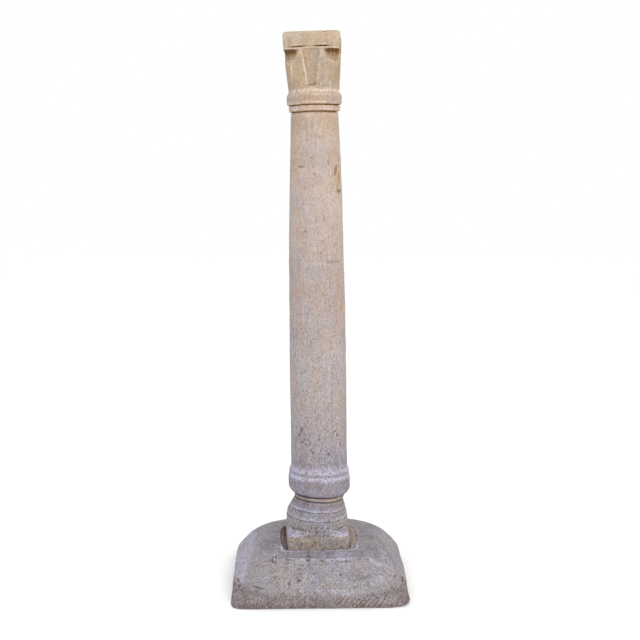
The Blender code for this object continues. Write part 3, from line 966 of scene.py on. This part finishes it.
        # Painted light: the block's left face is lightened and cleared of soiling, as if lit from the left.
        left = ease((-x - 0.25 * np.abs(y) - 0.166) / 0.012)
        left *= ease((z - 0.042) / 0.012) * ease((0.120 - z) / 0.02)
        bloom_and_highlight += 0.50 * left * (0.9 + 0.6 * grain.at(points, (0.005, 0.005, 0.05)))
        grime_and_shade *= 1.0 - 0.6 * left

    def dress(self, material: bpy.types.Material) -> bpy.types.Object:
        """Build, carve and paint the base block.

        Args:
            material: The base block's finish.

        Returns:
            The finished piece.
        """
        surface = Surface(self.rings())
        self.carve(surface)
        surface.add_marks(self.marks, Grain(73))
        self.weather(surface)
        surface.points = np.clip(surface.points, np.array(CAD_BOX[0]), np.array(CAD_BOX[1]))
        return surface.build("base_stone", material)


COLUMN_MARKS = (
    Mark(-0.051, 1.227, 0.007, 0.020, slant=-8.0, depth=0.0014, grime_and_shade=0.62),
    Mark(-0.048, 1.221, 0.006, 0.018, bloom_and_highlight=0.4),
    Mark(0.052, 1.196, 0.130, 0.017, slant=2.0, rust=0.24),
    Mark(0.046, 1.215, 0.040, 0.011, slant=8.0, depth=0.0008, rust=0.50, grime_and_shade=0.55),
    Mark(0.056, 1.196, 0.036, 0.007, slant=-4.0, rust=0.50, grime_and_shade=0.30),
    Mark(0.056, 1.158, 0.019, 0.015, depth=0.0008, rust=0.50, grime_and_shade=0.62),
    Mark(-0.003, 1.309, 0.010, 0.024, rust=0.45, grime_and_shade=0.15),
    Mark(-0.021, 1.289, 0.010, 0.012, rust=0.35),
    Mark(0.013, 1.079, 0.018, 0.008, rust=0.55, grime_and_shade=0.15),
    Mark(0.038, 0.956, 0.046, 0.005, slant=88.0, depth=0.0006, grime_and_shade=0.30),
    Mark(-0.038, 1.045, 0.020, 0.006, slant=85.0, depth=0.0008, grime_and_shade=0.25),
    Mark(0.063, 0.824, 0.026, 0.012, rust=0.45, grime_and_shade=0.20),
    Mark(0.033, 0.576, 0.016, 0.008, rust=0.45, grime_and_shade=0.20),
    Mark(-0.055, 0.459, 0.090, 0.006, slant=24.0, depth=0.0008, grime_and_shade=0.30),
    Mark(-0.046, 0.470, 0.070, 0.005, slant=30.0, depth=0.0007, grime_and_shade=0.25),
    Mark(-0.054, 0.468, 0.010, 0.008, depth=0.0020, grime_and_shade=0.90),
    Mark(-0.048, 0.434, 0.022, 0.006, slant=40.0, depth=0.0018, grime_and_shade=0.90),
    Mark(-0.040, 0.424, 0.014, 0.005, slant=-30.0, depth=0.0016, grime_and_shade=0.80),
    Mark(-0.062, 0.452, 0.030, 0.004, slant=-28.0, depth=0.0008, grime_and_shade=0.55),
    Mark(-0.036, 0.446, 0.050, 0.004, slant=-34.0, depth=0.0008, grime_and_shade=0.45),
    Mark(0.044, 0.462, 0.020, 0.005, slant=50.0, depth=0.0016, grime_and_shade=0.80),
    Mark(0.052, 0.452, 0.012, 0.006, slant=-10.0, depth=0.0014, grime_and_shade=0.70),
    Mark(0.061, 0.423, 0.010, 0.007, depth=0.0016, grime_and_shade=0.85),
    Mark(-0.020, 0.404, 0.024, 0.005, slant=-40.0, depth=0.0012, grime_and_shade=0.60),
    Mark(0.006, 0.412, 0.020, 0.005, slant=48.0, depth=0.0010, grime_and_shade=0.55),
    Mark(0.026, 0.398, 0.022, 0.005, slant=-35.0, depth=0.0010, grime_and_shade=0.55),
    Mark(-0.037, 0.340, 0.008, 0.009, depth=0.0016, grime_and_shade=0.60),
    Mark(0.031, 0.340, 0.008, 0.010, depth=0.0016, grime_and_shade=0.60),
    Mark(0.025, 0.175, 0.009, 0.009, depth=0.0020, grime_and_shade=0.75),
    Mark(-0.008, 0.165, 0.008, 0.010, depth=0.0018, grime_and_shade=0.60),
    Mark(-0.011, 0.177, 0.008, 0.008, depth=0.0018, grime_and_shade=0.65),
    Mark(0.043, 0.255, 0.014, 0.050, slant=0.0, rust=0.75),
    Mark(0.013, 1.598, 0.010, 0.012, depth=0.0018, grime_and_shade=0.35, front=0.074),
    Mark(-0.031, 1.451, 0.008, 0.008, depth=0.0010, grime_and_shade=0.45),
    Mark(-0.015, 1.457, 0.008, 0.008, depth=0.0008, grime_and_shade=0.40),
    Mark(-0.078, 1.490, 0.070, 0.006, slant=-4.0, depth=-0.0008, bloom_and_highlight=0.45),
    Mark(0.030, 1.456, 0.030, 0.005, slant=-4.0, depth=-0.0007, bloom_and_highlight=0.40),
)
BASE_MARKS = (
    Mark(-0.034, 0.116, 0.008, 0.020, depth=0.0022, grime_and_shade=0.60),
    Mark(-0.136, 0.111, 0.008, 0.009, depth=0.0020, grime_and_shade=0.70),
    Mark(-0.127, 0.112, 0.008, 0.008, depth=0.0020, grime_and_shade=0.70),
    Mark(0.073, 0.115, 0.008, 0.010, depth=0.0018, grime_and_shade=0.60),
    Mark(0.058, 0.1175, 0.007, 0.074, slant=0.0, depth=-0.0006, bloom_and_highlight=0.65),
    Mark(-0.127, 0.114, 0.010, 0.016, bloom_and_highlight=0.75),
    Mark(-0.092, 0.1205, 0.008, 0.040, bloom_and_highlight=0.65),
    Mark(0.158, 0.103, 0.008, 0.052, slant=22.0, bloom_and_highlight=0.50),
    Mark(0.004, 0.120, 0.055, 0.005, slant=105.0, depth=0.0006, bloom_and_highlight=0.60),
    Mark(0.012, 0.117, 0.050, 0.004, slant=112.0, depth=0.0006, bloom_and_highlight=0.45),
    Mark(-0.090, 0.067, 0.010, 0.010, depth=0.0022, grime_and_shade=0.75),
    Mark(-0.064, 0.073, 0.008, 0.016, depth=0.0018, grime_and_shade=0.55),
    Mark(-0.236, 0.050, 0.010, 0.014, depth=0.0020, grime_and_shade=0.75),
    Mark(0.057, 0.085, 0.009, 0.009, depth=0.0022, grime_and_shade=0.80),
    Mark(0.215, 0.063, 0.008, 0.008, depth=0.0018, grime_and_shade=0.70),
    Mark(0.238, 0.046, 0.014, 0.010, depth=0.0018, grime_and_shade=0.70),
    Mark(0.096, 0.057, 0.007, 0.008, depth=0.0014, grime_and_shade=0.50),
    Mark(-0.045, 0.033, 0.010, 0.008, depth=0.0016, grime_and_shade=0.50),
    Mark(0.232, 0.050, 0.013, 0.014, rust=0.55, grime_and_shade=0.25),
    Mark(0.130, 0.012, 0.018, 0.044, rust=0.60),
    Mark(0.165, 0.068, 0.022, 0.032, bloom_and_highlight=0.30),
    Mark(0.058, 0.044, 0.020, 0.110, slant=8.0, bloom_and_highlight=0.26),
    Mark(-0.176, 0.051, 0.006, 0.046, depth=0.0010, grime_and_shade=0.62),
    Mark(-0.030, 0.102, 0.030, 0.012, slant=-20.0, grime_and_shade=0.35),
    Mark(-0.096, 0.104, 0.034, 0.014, slant=12.0, grime_and_shade=0.40),
    Mark(0.120, 0.078, 0.012, 0.050, slant=-10.0, grime_and_shade=0.25),
    Mark(-0.060, 0.090, 0.050, 0.030, slant=30.0, grime_and_shade=0.22),
    Mark(0.090, 0.084, 0.030, 0.050, grime_and_shade=0.18),
    Mark(-0.135, 0.082, 0.030, 0.060, slant=70.0, rust=0.14, grime_and_shade=0.16),
    Mark(0.020, 0.060, 0.026, 0.070, rust=0.12, grime_and_shade=0.14),
)


class NodeKind(Enum):
    """Shader nodes that the finishes are wired from."""

    COORDINATES = "ShaderNodeTexCoord"
    NOISE = "ShaderNodeTexNoise"
    MAPPING = "ShaderNodeMapping"
    MATH = "ShaderNodeMath"
    RANGE = "ShaderNodeMapRange"
    MIX = "ShaderNodeMix"
    RAMP = "ShaderNodeValToRGB"
    SPLIT = "ShaderNodeSeparateXYZ"
    MASK = "ShaderNodeAttribute"
    BUMP = "ShaderNodeBump"
    GROUP = "ShaderNodeGroup"
    GROUP_IN = "NodeGroupInput"
    GROUP_OUT = "NodeGroupOutput"
    STONE = "ShaderNodeBsdfPrincipled"
    OUTPUT = "ShaderNodeOutputMaterial"


Socket = bpy.types.NodeSocket
Value = float | tuple[float, ...] | Socket
Colour = tuple[int, int, int]
Stops = tuple[tuple[float, Colour], ...]
Axes = tuple[float, float, float]


def linear(colour: Colour) -> tuple[float, float, float, float]:
    """A display colour of 0 to 255 as the linear light that shaders take."""
    parts = np.asarray(colour) / 255.0
    lit = np.where(parts <= 0.04045, parts / 12.92, ((parts + 0.055) / 1.055) ** 2.4)
    return (*lit.tolist(), 1.0)


class Wiring:
    """Adds nodes to one tree and joins them."""

    def __init__(self, tree: bpy.types.NodeTree) -> None:
        """Take the tree and empty it."""
        self.tree = tree
        tree.nodes.clear()

    def add(self, kind: NodeKind, inputs: dict[int | str, Value] | None = None,
            **settings: object) -> bpy.types.Node:
        """Add a node.

        Args:
            kind: Which node.
            inputs: Values or sockets for its inputs, by name or place.
            **settings: Properties of the node.

        Returns:
            The node.
        """
        node = self.tree.nodes.new(kind.value)
        for name, value in settings.items():
            setattr(node, name, value)
        for key, value in (inputs or {}).items():
            if isinstance(value, Socket):
                self.tree.links.new(value, node.inputs[key])
            else:
                node.inputs[key].default_value = value
        return node

    def math(self, operation: str, first: Value, second: Value = 0.0) -> Socket:
        """Join two values by an operation, clamped to between 0 and 1 for ADD_CLAMPED."""
        clamp = operation == "ADD_CLAMPED"
        kind = "ADD" if clamp else operation
        node = self.add(NodeKind.MATH, {0: first, 1: second}, operation=kind, use_clamp=clamp)
        return node.outputs[0]

    def spread(self, value: Value, low: float, high: float,
               to_low: float = 0.0, to_high: float = 1.0) -> Socket:
        """Map a value smoothly from one range to another, clamped at its ends."""
        inputs = {"Value": value, "From Min": low, "From Max": high, "To Min": to_low, "To Max": to_high}
        return self.add(NodeKind.RANGE, inputs, interpolation_type="SMOOTHSTEP").outputs["Result"]

    def blend(self, share: Value, first: Value, second: Value, kind: str = "MIX") -> Socket:
        """Blend two colours by a share of the second."""
        node = self.add(NodeKind.MIX, {}, data_type="RGBA", blend_type=kind)
        for key, value in (("Factor_Float", share), ("A_Color", first), ("B_Color", second)):
            socket = next(s for s in node.inputs if s.identifier == key)
            if isinstance(value, Socket):
                self.tree.links.new(value, socket)
            else:
                socket.default_value = value
        return next(s for s in node.outputs if s.identifier == "Result_Color")

    def place(self, stretch: Axes = (1.0, 1.0, 1.0), turn: Axes = (0.0, 0.0, 0.0)) -> Socket:
        """Object coordinates in metres, turned and then scaled."""
        coordinates = self.add(NodeKind.COORDINATES).outputs["Object"]
        turned = self.add(NodeKind.MAPPING, {"Vector": coordinates, "Rotation": turn}).outputs["Vector"]
        return self.add(NodeKind.MAPPING, {"Vector": turned, "Scale": stretch}).outputs["Vector"]

    def noise(self, scale: Value, detail: float = 2.0, stretch: Axes = (1.0, 1.0, 1.0),
              turn: Axes = (0.0, 0.0, 0.0)) -> Socket:
        """Noise of about 0.3 to 0.7, with that many cells to a metre."""
        inputs = {"Vector": self.place(stretch, turn), "Scale": scale, "Detail": detail, "Roughness": 0.62}
        return self.add(NodeKind.NOISE, inputs).outputs[0]

    def swing(self, value: Socket, amount: Value) -> Socket:
        """A noise's departure from its middle, times an amount."""
        return self.math("MULTIPLY", self.math("SUBTRACT", value, 0.5), amount)


class SharedEffects:
    """Node groups that both stones use, each built once."""

    def __init__(self) -> None:
        """Build every group."""
        self.tone = self.build_tone()
        self.skin = self.build_skin()
        self.strokes = self.build_strokes()

    @staticmethod
    def start(name: str, inputs: dict[str, Value], outputs: dict[str, str]) -> tuple[Wiring, bpy.types.Node]:
        """Make an empty group with named sockets.

        Args:
            name: The group's name.
            inputs: Input names with their defaults, colours as four values.
            outputs: Output names with their socket types.

        Returns:
            The wiring of the group and its input node.
        """
        tree = bpy.data.node_groups.new(name, "ShaderNodeTree")
        for socket_name, value in inputs.items():
            kind = "NodeSocketColor" if isinstance(value, tuple) else "NodeSocketFloat"
            socket = tree.interface.new_socket(socket_name, in_out="INPUT", socket_type=kind)
            socket.default_value = value
        for socket_name, kind in outputs.items():
            tree.interface.new_socket(socket_name, in_out="OUTPUT", socket_type=kind)
        wiring = Wiring(tree)
        return wiring, wiring.add(NodeKind.GROUP_IN)

    def build_tone(self) -> bpy.types.NodeTree:
        """Stone of two tints in patches, grained and flecked, under stain, pale bloom with painted
        highlights, and soiling with painted shade.
        """
        grey = (0.5, 0.5, 0.5, 1.0)
        colours = {name: grey for name in ("Stone", "Blush", "Grime_And_Shade Colour", "Lime Colour", "Rust Colour")}
        amounts = {"Grime_And_Shade": 0.0, "Lime": 0.0, "Rust": 0.0, "Mottle": 0.3, "Grain": 0.5, "Speckle": 0.3}
        wires, node = self.start("weathered_tone", {**colours, **amounts},
                                 {"Colour": "NodeSocketColor", "Dirt_And_Shade": "NodeSocketFloat"})
        given = node.outputs
        patch = wires.noise(24.0, 4.0, (1.0, 1.0, 0.7))
        cloud = wires.noise(75.0, 3.0)
        grain = wires.noise(210.0, 3.0)
        fleck = wires.noise(400.0, 1.0)
        veil = wires.noise(14.0, 2.0, (1.0, 1.0, 0.6))
        base = wires.blend(wires.spread(veil, 0.36, 0.64), given["Stone"], given["Blush"])
        broad = wires.math("ADD", wires.swing(patch, given["Mottle"]), wires.swing(cloud, given["Mottle"]))
        fine = wires.math("ADD", wires.swing(grain, given["Grain"]), wires.swing(fleck, given["Grain"]))
        bright = wires.math("ADD", wires.math("ADD", broad, wires.math("MULTIPLY", fine, 2.0)), 1.0)
        base = wires.blend(1.0, base, bright, "MULTIPLY")
        rust = wires.math("MULTIPLY", given["Rust"], wires.spread(cloud, 0.32, 0.56, 0.70))
        base = wires.blend(rust, base, given["Rust Colour"])
        bloom_and_highlight = wires.math("MULTIPLY", given["Lime"], wires.spread(grain, 0.36, 0.60, 0.40))
        base = wires.blend(bloom_and_highlight, base, given["Lime Colour"])
        dark = wires.math("MULTIPLY", wires.spread(fleck, 0.56, 0.72), given["Speckle"])
        dirt_and_shade = wires.math("MULTIPLY", given["Grime_And_Shade"], wires.spread(grain, 0.34, 0.62, 1.0, 0.60))
        dirt_and_shade = wires.math("ADD_CLAMPED", dirt_and_shade, dark)
        base = wires.blend(dirt_and_shade, base, given["Grime_And_Shade Colour"])
        base = wires.blend(1.0, base, wires.math("ADD", wires.math("MULTIPLY", fine, 0.8), 1.0), "MULTIPLY")
        wires.add(NodeKind.GROUP_OUT, {"Colour": base, "Dirt_And_Shade": dirt_and_shade})
        return wires.tree

    def build_skin(self) -> bpy.types.NodeTree:
        """Pitted, grainy skin as a height, with a mask of the pits."""
        wires, node = self.start("pitted_skin", {"Pit Scale": 240.0, "Grit Scale": 600.0},
                                 {"Height": "NodeSocketFloat", "Pits": "NodeSocketFloat"})
        pits = wires.spread(wires.noise(node.outputs["Pit Scale"]), 0.60, 0.72)
        grit = wires.math("MULTIPLY", wires.noise(node.outputs["Grit Scale"], 3.0), 0.45)
        wires.add(NodeKind.GROUP_OUT, {"Height": wires.math("SUBTRACT", grit, pits), "Pits": pits})
        return wires.tree

    def build_strokes(self) -> bpy.types.NodeTree:
        """Tool strokes up the stone and across it: a height, pale scratches and dark ones.

        Where the stone is hewn, chisel furrows are added: the sine of the place across a lean,
        steep to the left and half over to the right, shaken by noise.
        """
        amounts = {"Upright": 1.0, "Leaning": 1.0, "Crossing": 0.0, "Hewn": 0.0}
        wires, node = self.start("tool_strokes", amounts,
                                 {name: "NodeSocketFloat" for name in ("Height", "Pale", "Dark")})
        total = {"Height": 0.0, "Pale": 0.0, "Dark": 0.0}
        kinds = (("Upright", 250.0, 0.07, 0.0), ("Leaning", 190.0, 0.06, 42.0),
                 ("Crossing", 205.0, 0.06, -58.0))
        for name, scale, along, lean in kinds:
            run = wires.noise(scale, 2.0, (1.0, 1.0, along), (0.0, radians(lean), 0.0))
            parts = {"Height": run, "Pale": wires.spread(run, 0.58, 0.68),
                     "Dark": wires.spread(run, 0.42, 0.32)}
            for key, part in parts.items():
                total[key] = wires.math("ADD", total[key], wires.math("MULTIPLY", part, node.outputs[name]))
        place = wires.add(NodeKind.SPLIT, {0: wires.place()}).outputs
        run = wires.math("ADD", place["X"], place["Y"])
        tremble = wires.math("MULTIPLY", wires.noise(150.0, 2.0), 0.25)
        shake = wires.math("ADD", wires.noise(34.0, 2.0), tremble)
        furrows = []
        for lean, spacing in ((22.0, 0.0078), (46.0, 0.0108)):
            across = wires.math("SUBTRACT", wires.math("MULTIPLY", run, np.cos(radians(lean))),
                                wires.math("MULTIPLY", place["Z"], np.sin(radians(lean))))
            turns = wires.math("MULTIPLY", across, 2.0 * np.pi / spacing)
            furrows.append(wires.math("SINE", wires.math("ADD", turns, wires.math("MULTIPLY", shake, 9.0))))
        to_right = wires.spread(place["X"], -0.06, 0.02)
        left = wires.math("MULTIPLY", furrows[0], wires.math("SUBTRACT", 1.0, to_right))
        wave = wires.math("ADD", left, wires.math("MULTIPLY", furrows[1], to_right))
        parts = {"Height": wave, "Pale": wires.spread(wave, 0.25, 1.0),
                 "Dark": wires.spread(wave, -0.2, -1.0)}
        for key, part in parts.items():
            part = wires.math("MULTIPLY", part, node.outputs["Hewn"])
            total[key] = wires.math("ADD", total[key], part)
        wires.add(NodeKind.GROUP_OUT, total)
        return wires.tree


@dataclass(frozen=True)
class StoneFinish:
    """Weathered marble: its colour by height, and how much it is stained, pitted and tooled."""

    name: str
    tones: Stops                    # height in metres and mean colour there
    drift: Colour = (3, 0, -4)      # how the warmer patches differ from the mean, the cooler the other way
    # Colours of soiling, which also colour the painted shade, darkest brown under the abacus.
    grime_and_shade: Stops = ((0.10, (88, 72, 66)), (0.40, (94, 80, 74)), (1.10, (104, 80, 58)), (1.40, (110, 80, 44)),
                    (1.54, (80, 58, 32)))
    # Pale bloom colours, lilac low down, which also colour the painted highlights.
    bloom_and_highlight: Stops = ((0.10, (188, 184, 208)), (0.22, (182, 180, 208)), (0.40, (200, 195, 216)),
                   (1.40, (224, 204, 190)))
    rust: Stops = ((0.10, (170, 148, 118)), (0.40, (176, 142, 104)), (1.40, (162, 126, 74)),
                   (1.54, (148, 114, 66)))
    mottle: float = 0.30
    grain_low: float = 0.60     # strength of the grain near the ground and at the top
    grain_high: float = 0.30
    grain_foot: float = 0.45    # what is added to it on the foot
    speckle: float = 0.38
    pit_scale: float = 240.0
    upright: float = 0.58
    leaning: float = 0.15
    crossing: float = 0.10
    pale: float = 0.50          # how much the scratches lighten and darken the stone
    dark: float = 0.42
    relief: float = 0.0011      # height of the fine relief in metres
    smoothest: float = 0.76
    roughest: float = 0.95

    @staticmethod
    def ramp(wires: Wiring, height: Socket, stops: Stops, shift: np.ndarray) -> Socket:
        """Colour by height, straight between the stops, all shifted alike."""
        node = wires.add(NodeKind.RAMP, {"Fac": height})
        elements = node.color_ramp.elements
        while len(elements) < len(stops):
            elements.new(0.5)
        for element, (level, colour) in zip(elements, stops):
            element.position = level / TOTAL_HEIGHT
            element.color = linear(colour + shift)
        return node.outputs["Color"]

    def material(self, effects: SharedEffects) -> bpy.types.Material:
        """Wire the finish.

        Args:
            effects: The shared node groups.

        Returns:
            The material.
        """
        made = bpy.data.materials.new(self.name)
        made.use_nodes = True
        wires = Wiring(made.node_tree)
        height = wires.add(NodeKind.SPLIT, {0: wires.place((1.0, 1.0, 1.0 / TOTAL_HEIGHT))}).outputs["Z"]
        masks = {name: wires.add(NodeKind.MASK, attribute_name=name).outputs["Fac"] for name in Surface.MASKS}
        strokes = wires.add(NodeKind.GROUP, {"Hewn": masks["hewn"]}, node_tree=effects.strokes)
        amounts = {"Upright": self.upright, "Leaning": self.leaning, "Crossing": self.crossing}
        for name, amount in amounts.items():
            strokes.inputs[name].default_value = amount
        skin = wires.add(NodeKind.GROUP, node_tree=effects.skin)
        skin.inputs["Pit Scale"].default_value = self.pit_scale
        scratches = wires.math("MULTIPLY", strokes.outputs["Pale"], self.pale)
        bloom_and_highlight = wires.math("ADD_CLAMPED", masks["bloom_and_highlight"], scratches)
        grime_and_shade = wires.math("ADD", masks["grime_and_shade"], wires.math("MULTIPLY", skin.outputs["Pits"], 0.35))
        cuts = wires.math("MULTIPLY", strokes.outputs["Dark"], self.dark)
        tone = wires.add(NodeKind.GROUP, node_tree=effects.tone)
        tone.inputs["Mottle"].default_value = self.mottle
        tone.inputs["Speckle"].default_value = self.speckle
        drift = np.array(self.drift)
        joins = {"Stone": self.ramp(wires, height, self.tones, drift),
                 "Blush": self.ramp(wires, height, self.tones, -drift)}
        for name, stops in (("Grime_And_Shade", self.grime_and_shade), ("Lime", self.bloom_and_highlight), ("Rust", self.rust)):
            joins[f"{name} Colour"] = self.ramp(wires, height, stops, 0 * drift)
        joins["Grain"] = wires.math("ADD", wires.spread(height, 0.10, 0.75, self.grain_low, self.grain_high),
                                    wires.spread(height, 0.10, 0.13, self.grain_foot, 0.0))
        joins["Grime_And_Shade"] = wires.math("ADD_CLAMPED", grime_and_shade, cuts)
        joins.update(Lime=bloom_and_highlight, Rust=masks["rust"])
        for name, socket in joins.items():
            made.node_tree.links.new(socket, tone.inputs[name])
        rough = wires.spread(tone.outputs["Dirt_And_Shade"], 0.0, 0.8, self.smoothest, self.roughest)
        relief = wires.math("ADD", skin.outputs["Height"], strokes.outputs["Height"])
        bump = wires.add(NodeKind.BUMP, {"Strength": 0.55, "Distance": self.relief, "Height": relief})
        shader = wires.add(NodeKind.STONE, {"Base Color": tone.outputs["Colour"], "Roughness": rough,
                                            "Normal": bump.outputs["Normal"], "Specular IOR Level": 0.15})
        wires.add(NodeKind.OUTPUT, {"Surface": shader.outputs["BSDF"]})
        return made


COLUMN_FINISH = StoneFinish(
    name="column_marble",
    tones=((0.10, (148, 142, 145)), (0.18, (147, 142, 143)),
           (0.23, (131, 127, 131)), (0.31, (135, 130, 138)),
           (0.48, (155, 145, 144)), (0.67, (163, 152, 149)), (0.86, (162, 148, 142)), (1.09, (174, 160, 153)),
           (1.30, (173, 157, 147)), (1.42, (166, 147, 130)), (1.52, (165, 147, 126)),
           (1.59, (178, 160, 139))),
)
BASE_FINISH = StoneFinish(
    name="base_marble",
    tones=((0.0, (139, 130, 127)), (0.03, (143, 136, 136)), (0.07, (145, 142, 146)), (0.12, (146, 142, 147))),
    drift=(2, 0, -2),
    mottle=0.42,
    grain_low=0.62,
    grain_foot=0.0,
    speckle=0.30,
    upright=0.35,
    leaning=0.75,
    crossing=0.65,
    pale=0.50,
    dark=0.50,
    relief=0.0014,
)


@dataclass(frozen=True)
class AreaLight:
    """A soft square light that looks at a point."""

    name: str
    place: tuple[float, float, float]
    target: tuple[float, float, float]
    size: float
    power: float
    colour: tuple[float, float, float]

    def build(self) -> None:
        """Add the light to the scene."""
        lamp = bpy.data.lights.new(self.name, "AREA")
        lamp.size = self.size
        lamp.energy = self.power
        lamp.color = self.colour
        holder = bpy.data.objects.new(self.name, lamp)
        holder.location = self.place
        aim = holder.location.copy()
        aim.x, aim.y, aim.z = (t - p for t, p in zip(self.target, self.place))
        holder.rotation_euler = aim.to_track_quat("-Z", "Y").to_euler()
        bpy.context.scene.collection.objects.link(holder)


@dataclass
class Studio:
    """Pale floor, soft lights and the camera that stands where the photographer's did."""

    floor_half: float = 14.0
    floor_height: float = -0.0005   # just under the base block
    floor_colour: Colour = (255, 255, 255)
    sky_strength: float = 1.0
    camera_place: tuple[float, float, float] = (-0.0780, -3.0653, 1.1810)
    camera_pitch: float = 82.567     # degrees from looking straight down
    camera_heading: float = -1.5213
    lens_mm: float = 59.17
    sensor_mm: float = 36.0
    lights: tuple[AreaLight, ...] = (
        AreaLight("key_panel", (0.9, -3.9, 2.4), (0.0, 0.0, 0.8), 2.2, 62.0, (1.0, 0.99, 0.98)),
        AreaLight("warm_panel", (3.2, -1.2, 1.6), (0.0, 0.0, 0.8), 2.0, 12.0, (1.0, 0.86, 0.68)),
        AreaLight("cool_panel", (-3.2, -1.2, 1.6), (0.0, 0.0, 0.8), 2.0, 6.0, (0.62, 0.78, 1.0)),
    )

    def build(self) -> None:
        """Set the floor, the sky, the lights and the camera."""
        half = self.floor_half
        sides = ((-half, -half), (half, -half), (half, half), (-half, half))
        corners = [(x, y, self.floor_height) for x, y in sides]
        mesh = bpy.data.meshes.new("floor")
        mesh.from_pydata(corners, [], [(0, 1, 2, 3)])
        pale = bpy.data.materials.new("pale_floor")
        pale.use_nodes = True
        shader = pale.node_tree.nodes["Principled BSDF"]
        shader.inputs["Base Color"].default_value = linear(self.floor_colour)
        shader.inputs["Roughness"].default_value = 0.9
        shader.inputs["Specular IOR Level"].default_value = 0.0
        mesh.materials.append(pale)
        floor = bpy.data.objects.new("floor", mesh)
        bpy.context.scene.collection.objects.link(floor)
        world = bpy.data.worlds.new("soft_sky")
        world.use_nodes = True
        world.node_tree.nodes["Background"].inputs["Color"].default_value = (1.0, 1.0, 1.0, 1.0)
        world.node_tree.nodes["Background"].inputs["Strength"].default_value = self.sky_strength
        scene = bpy.context.scene
        scene.world = world
        scene.view_settings.view_transform = "Standard"
        for light in self.lights:
            light.build()
        eye = bpy.data.cameras.new("camera")
        eye.lens = self.lens_mm
        eye.sensor_width = self.sensor_mm
        eye.clip_end = 60.0
        camera = bpy.data.objects.new("camera", eye)
        camera.location = self.camera_place
        camera.rotation_euler = (radians(self.camera_pitch), 0.0, radians(self.camera_heading))
        scene.collection.objects.link(camera)
        scene.camera = camera


def main() -> None:
    """Build the studio and both stones."""
    logging.basicConfig(level=logging.INFO, format="%(name)s: %(message)s")
    Studio().build()
    effects = SharedEffects()
    column = Column(marks=COLUMN_MARKS).dress(COLUMN_FINISH.material(effects))
    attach(column, "root")
    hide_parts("column")
    LOG.info("%s: %d faces", column.name, len(column.data.polygons))
    base = BaseBlock(marks=BASE_MARKS).dress(BASE_FINISH.material(effects))
    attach(base, "root")
    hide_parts("base_block")
    LOG.info("%s: %d faces", base.name, len(base.data.polygons))


if __name__ == "__main__":
    main()
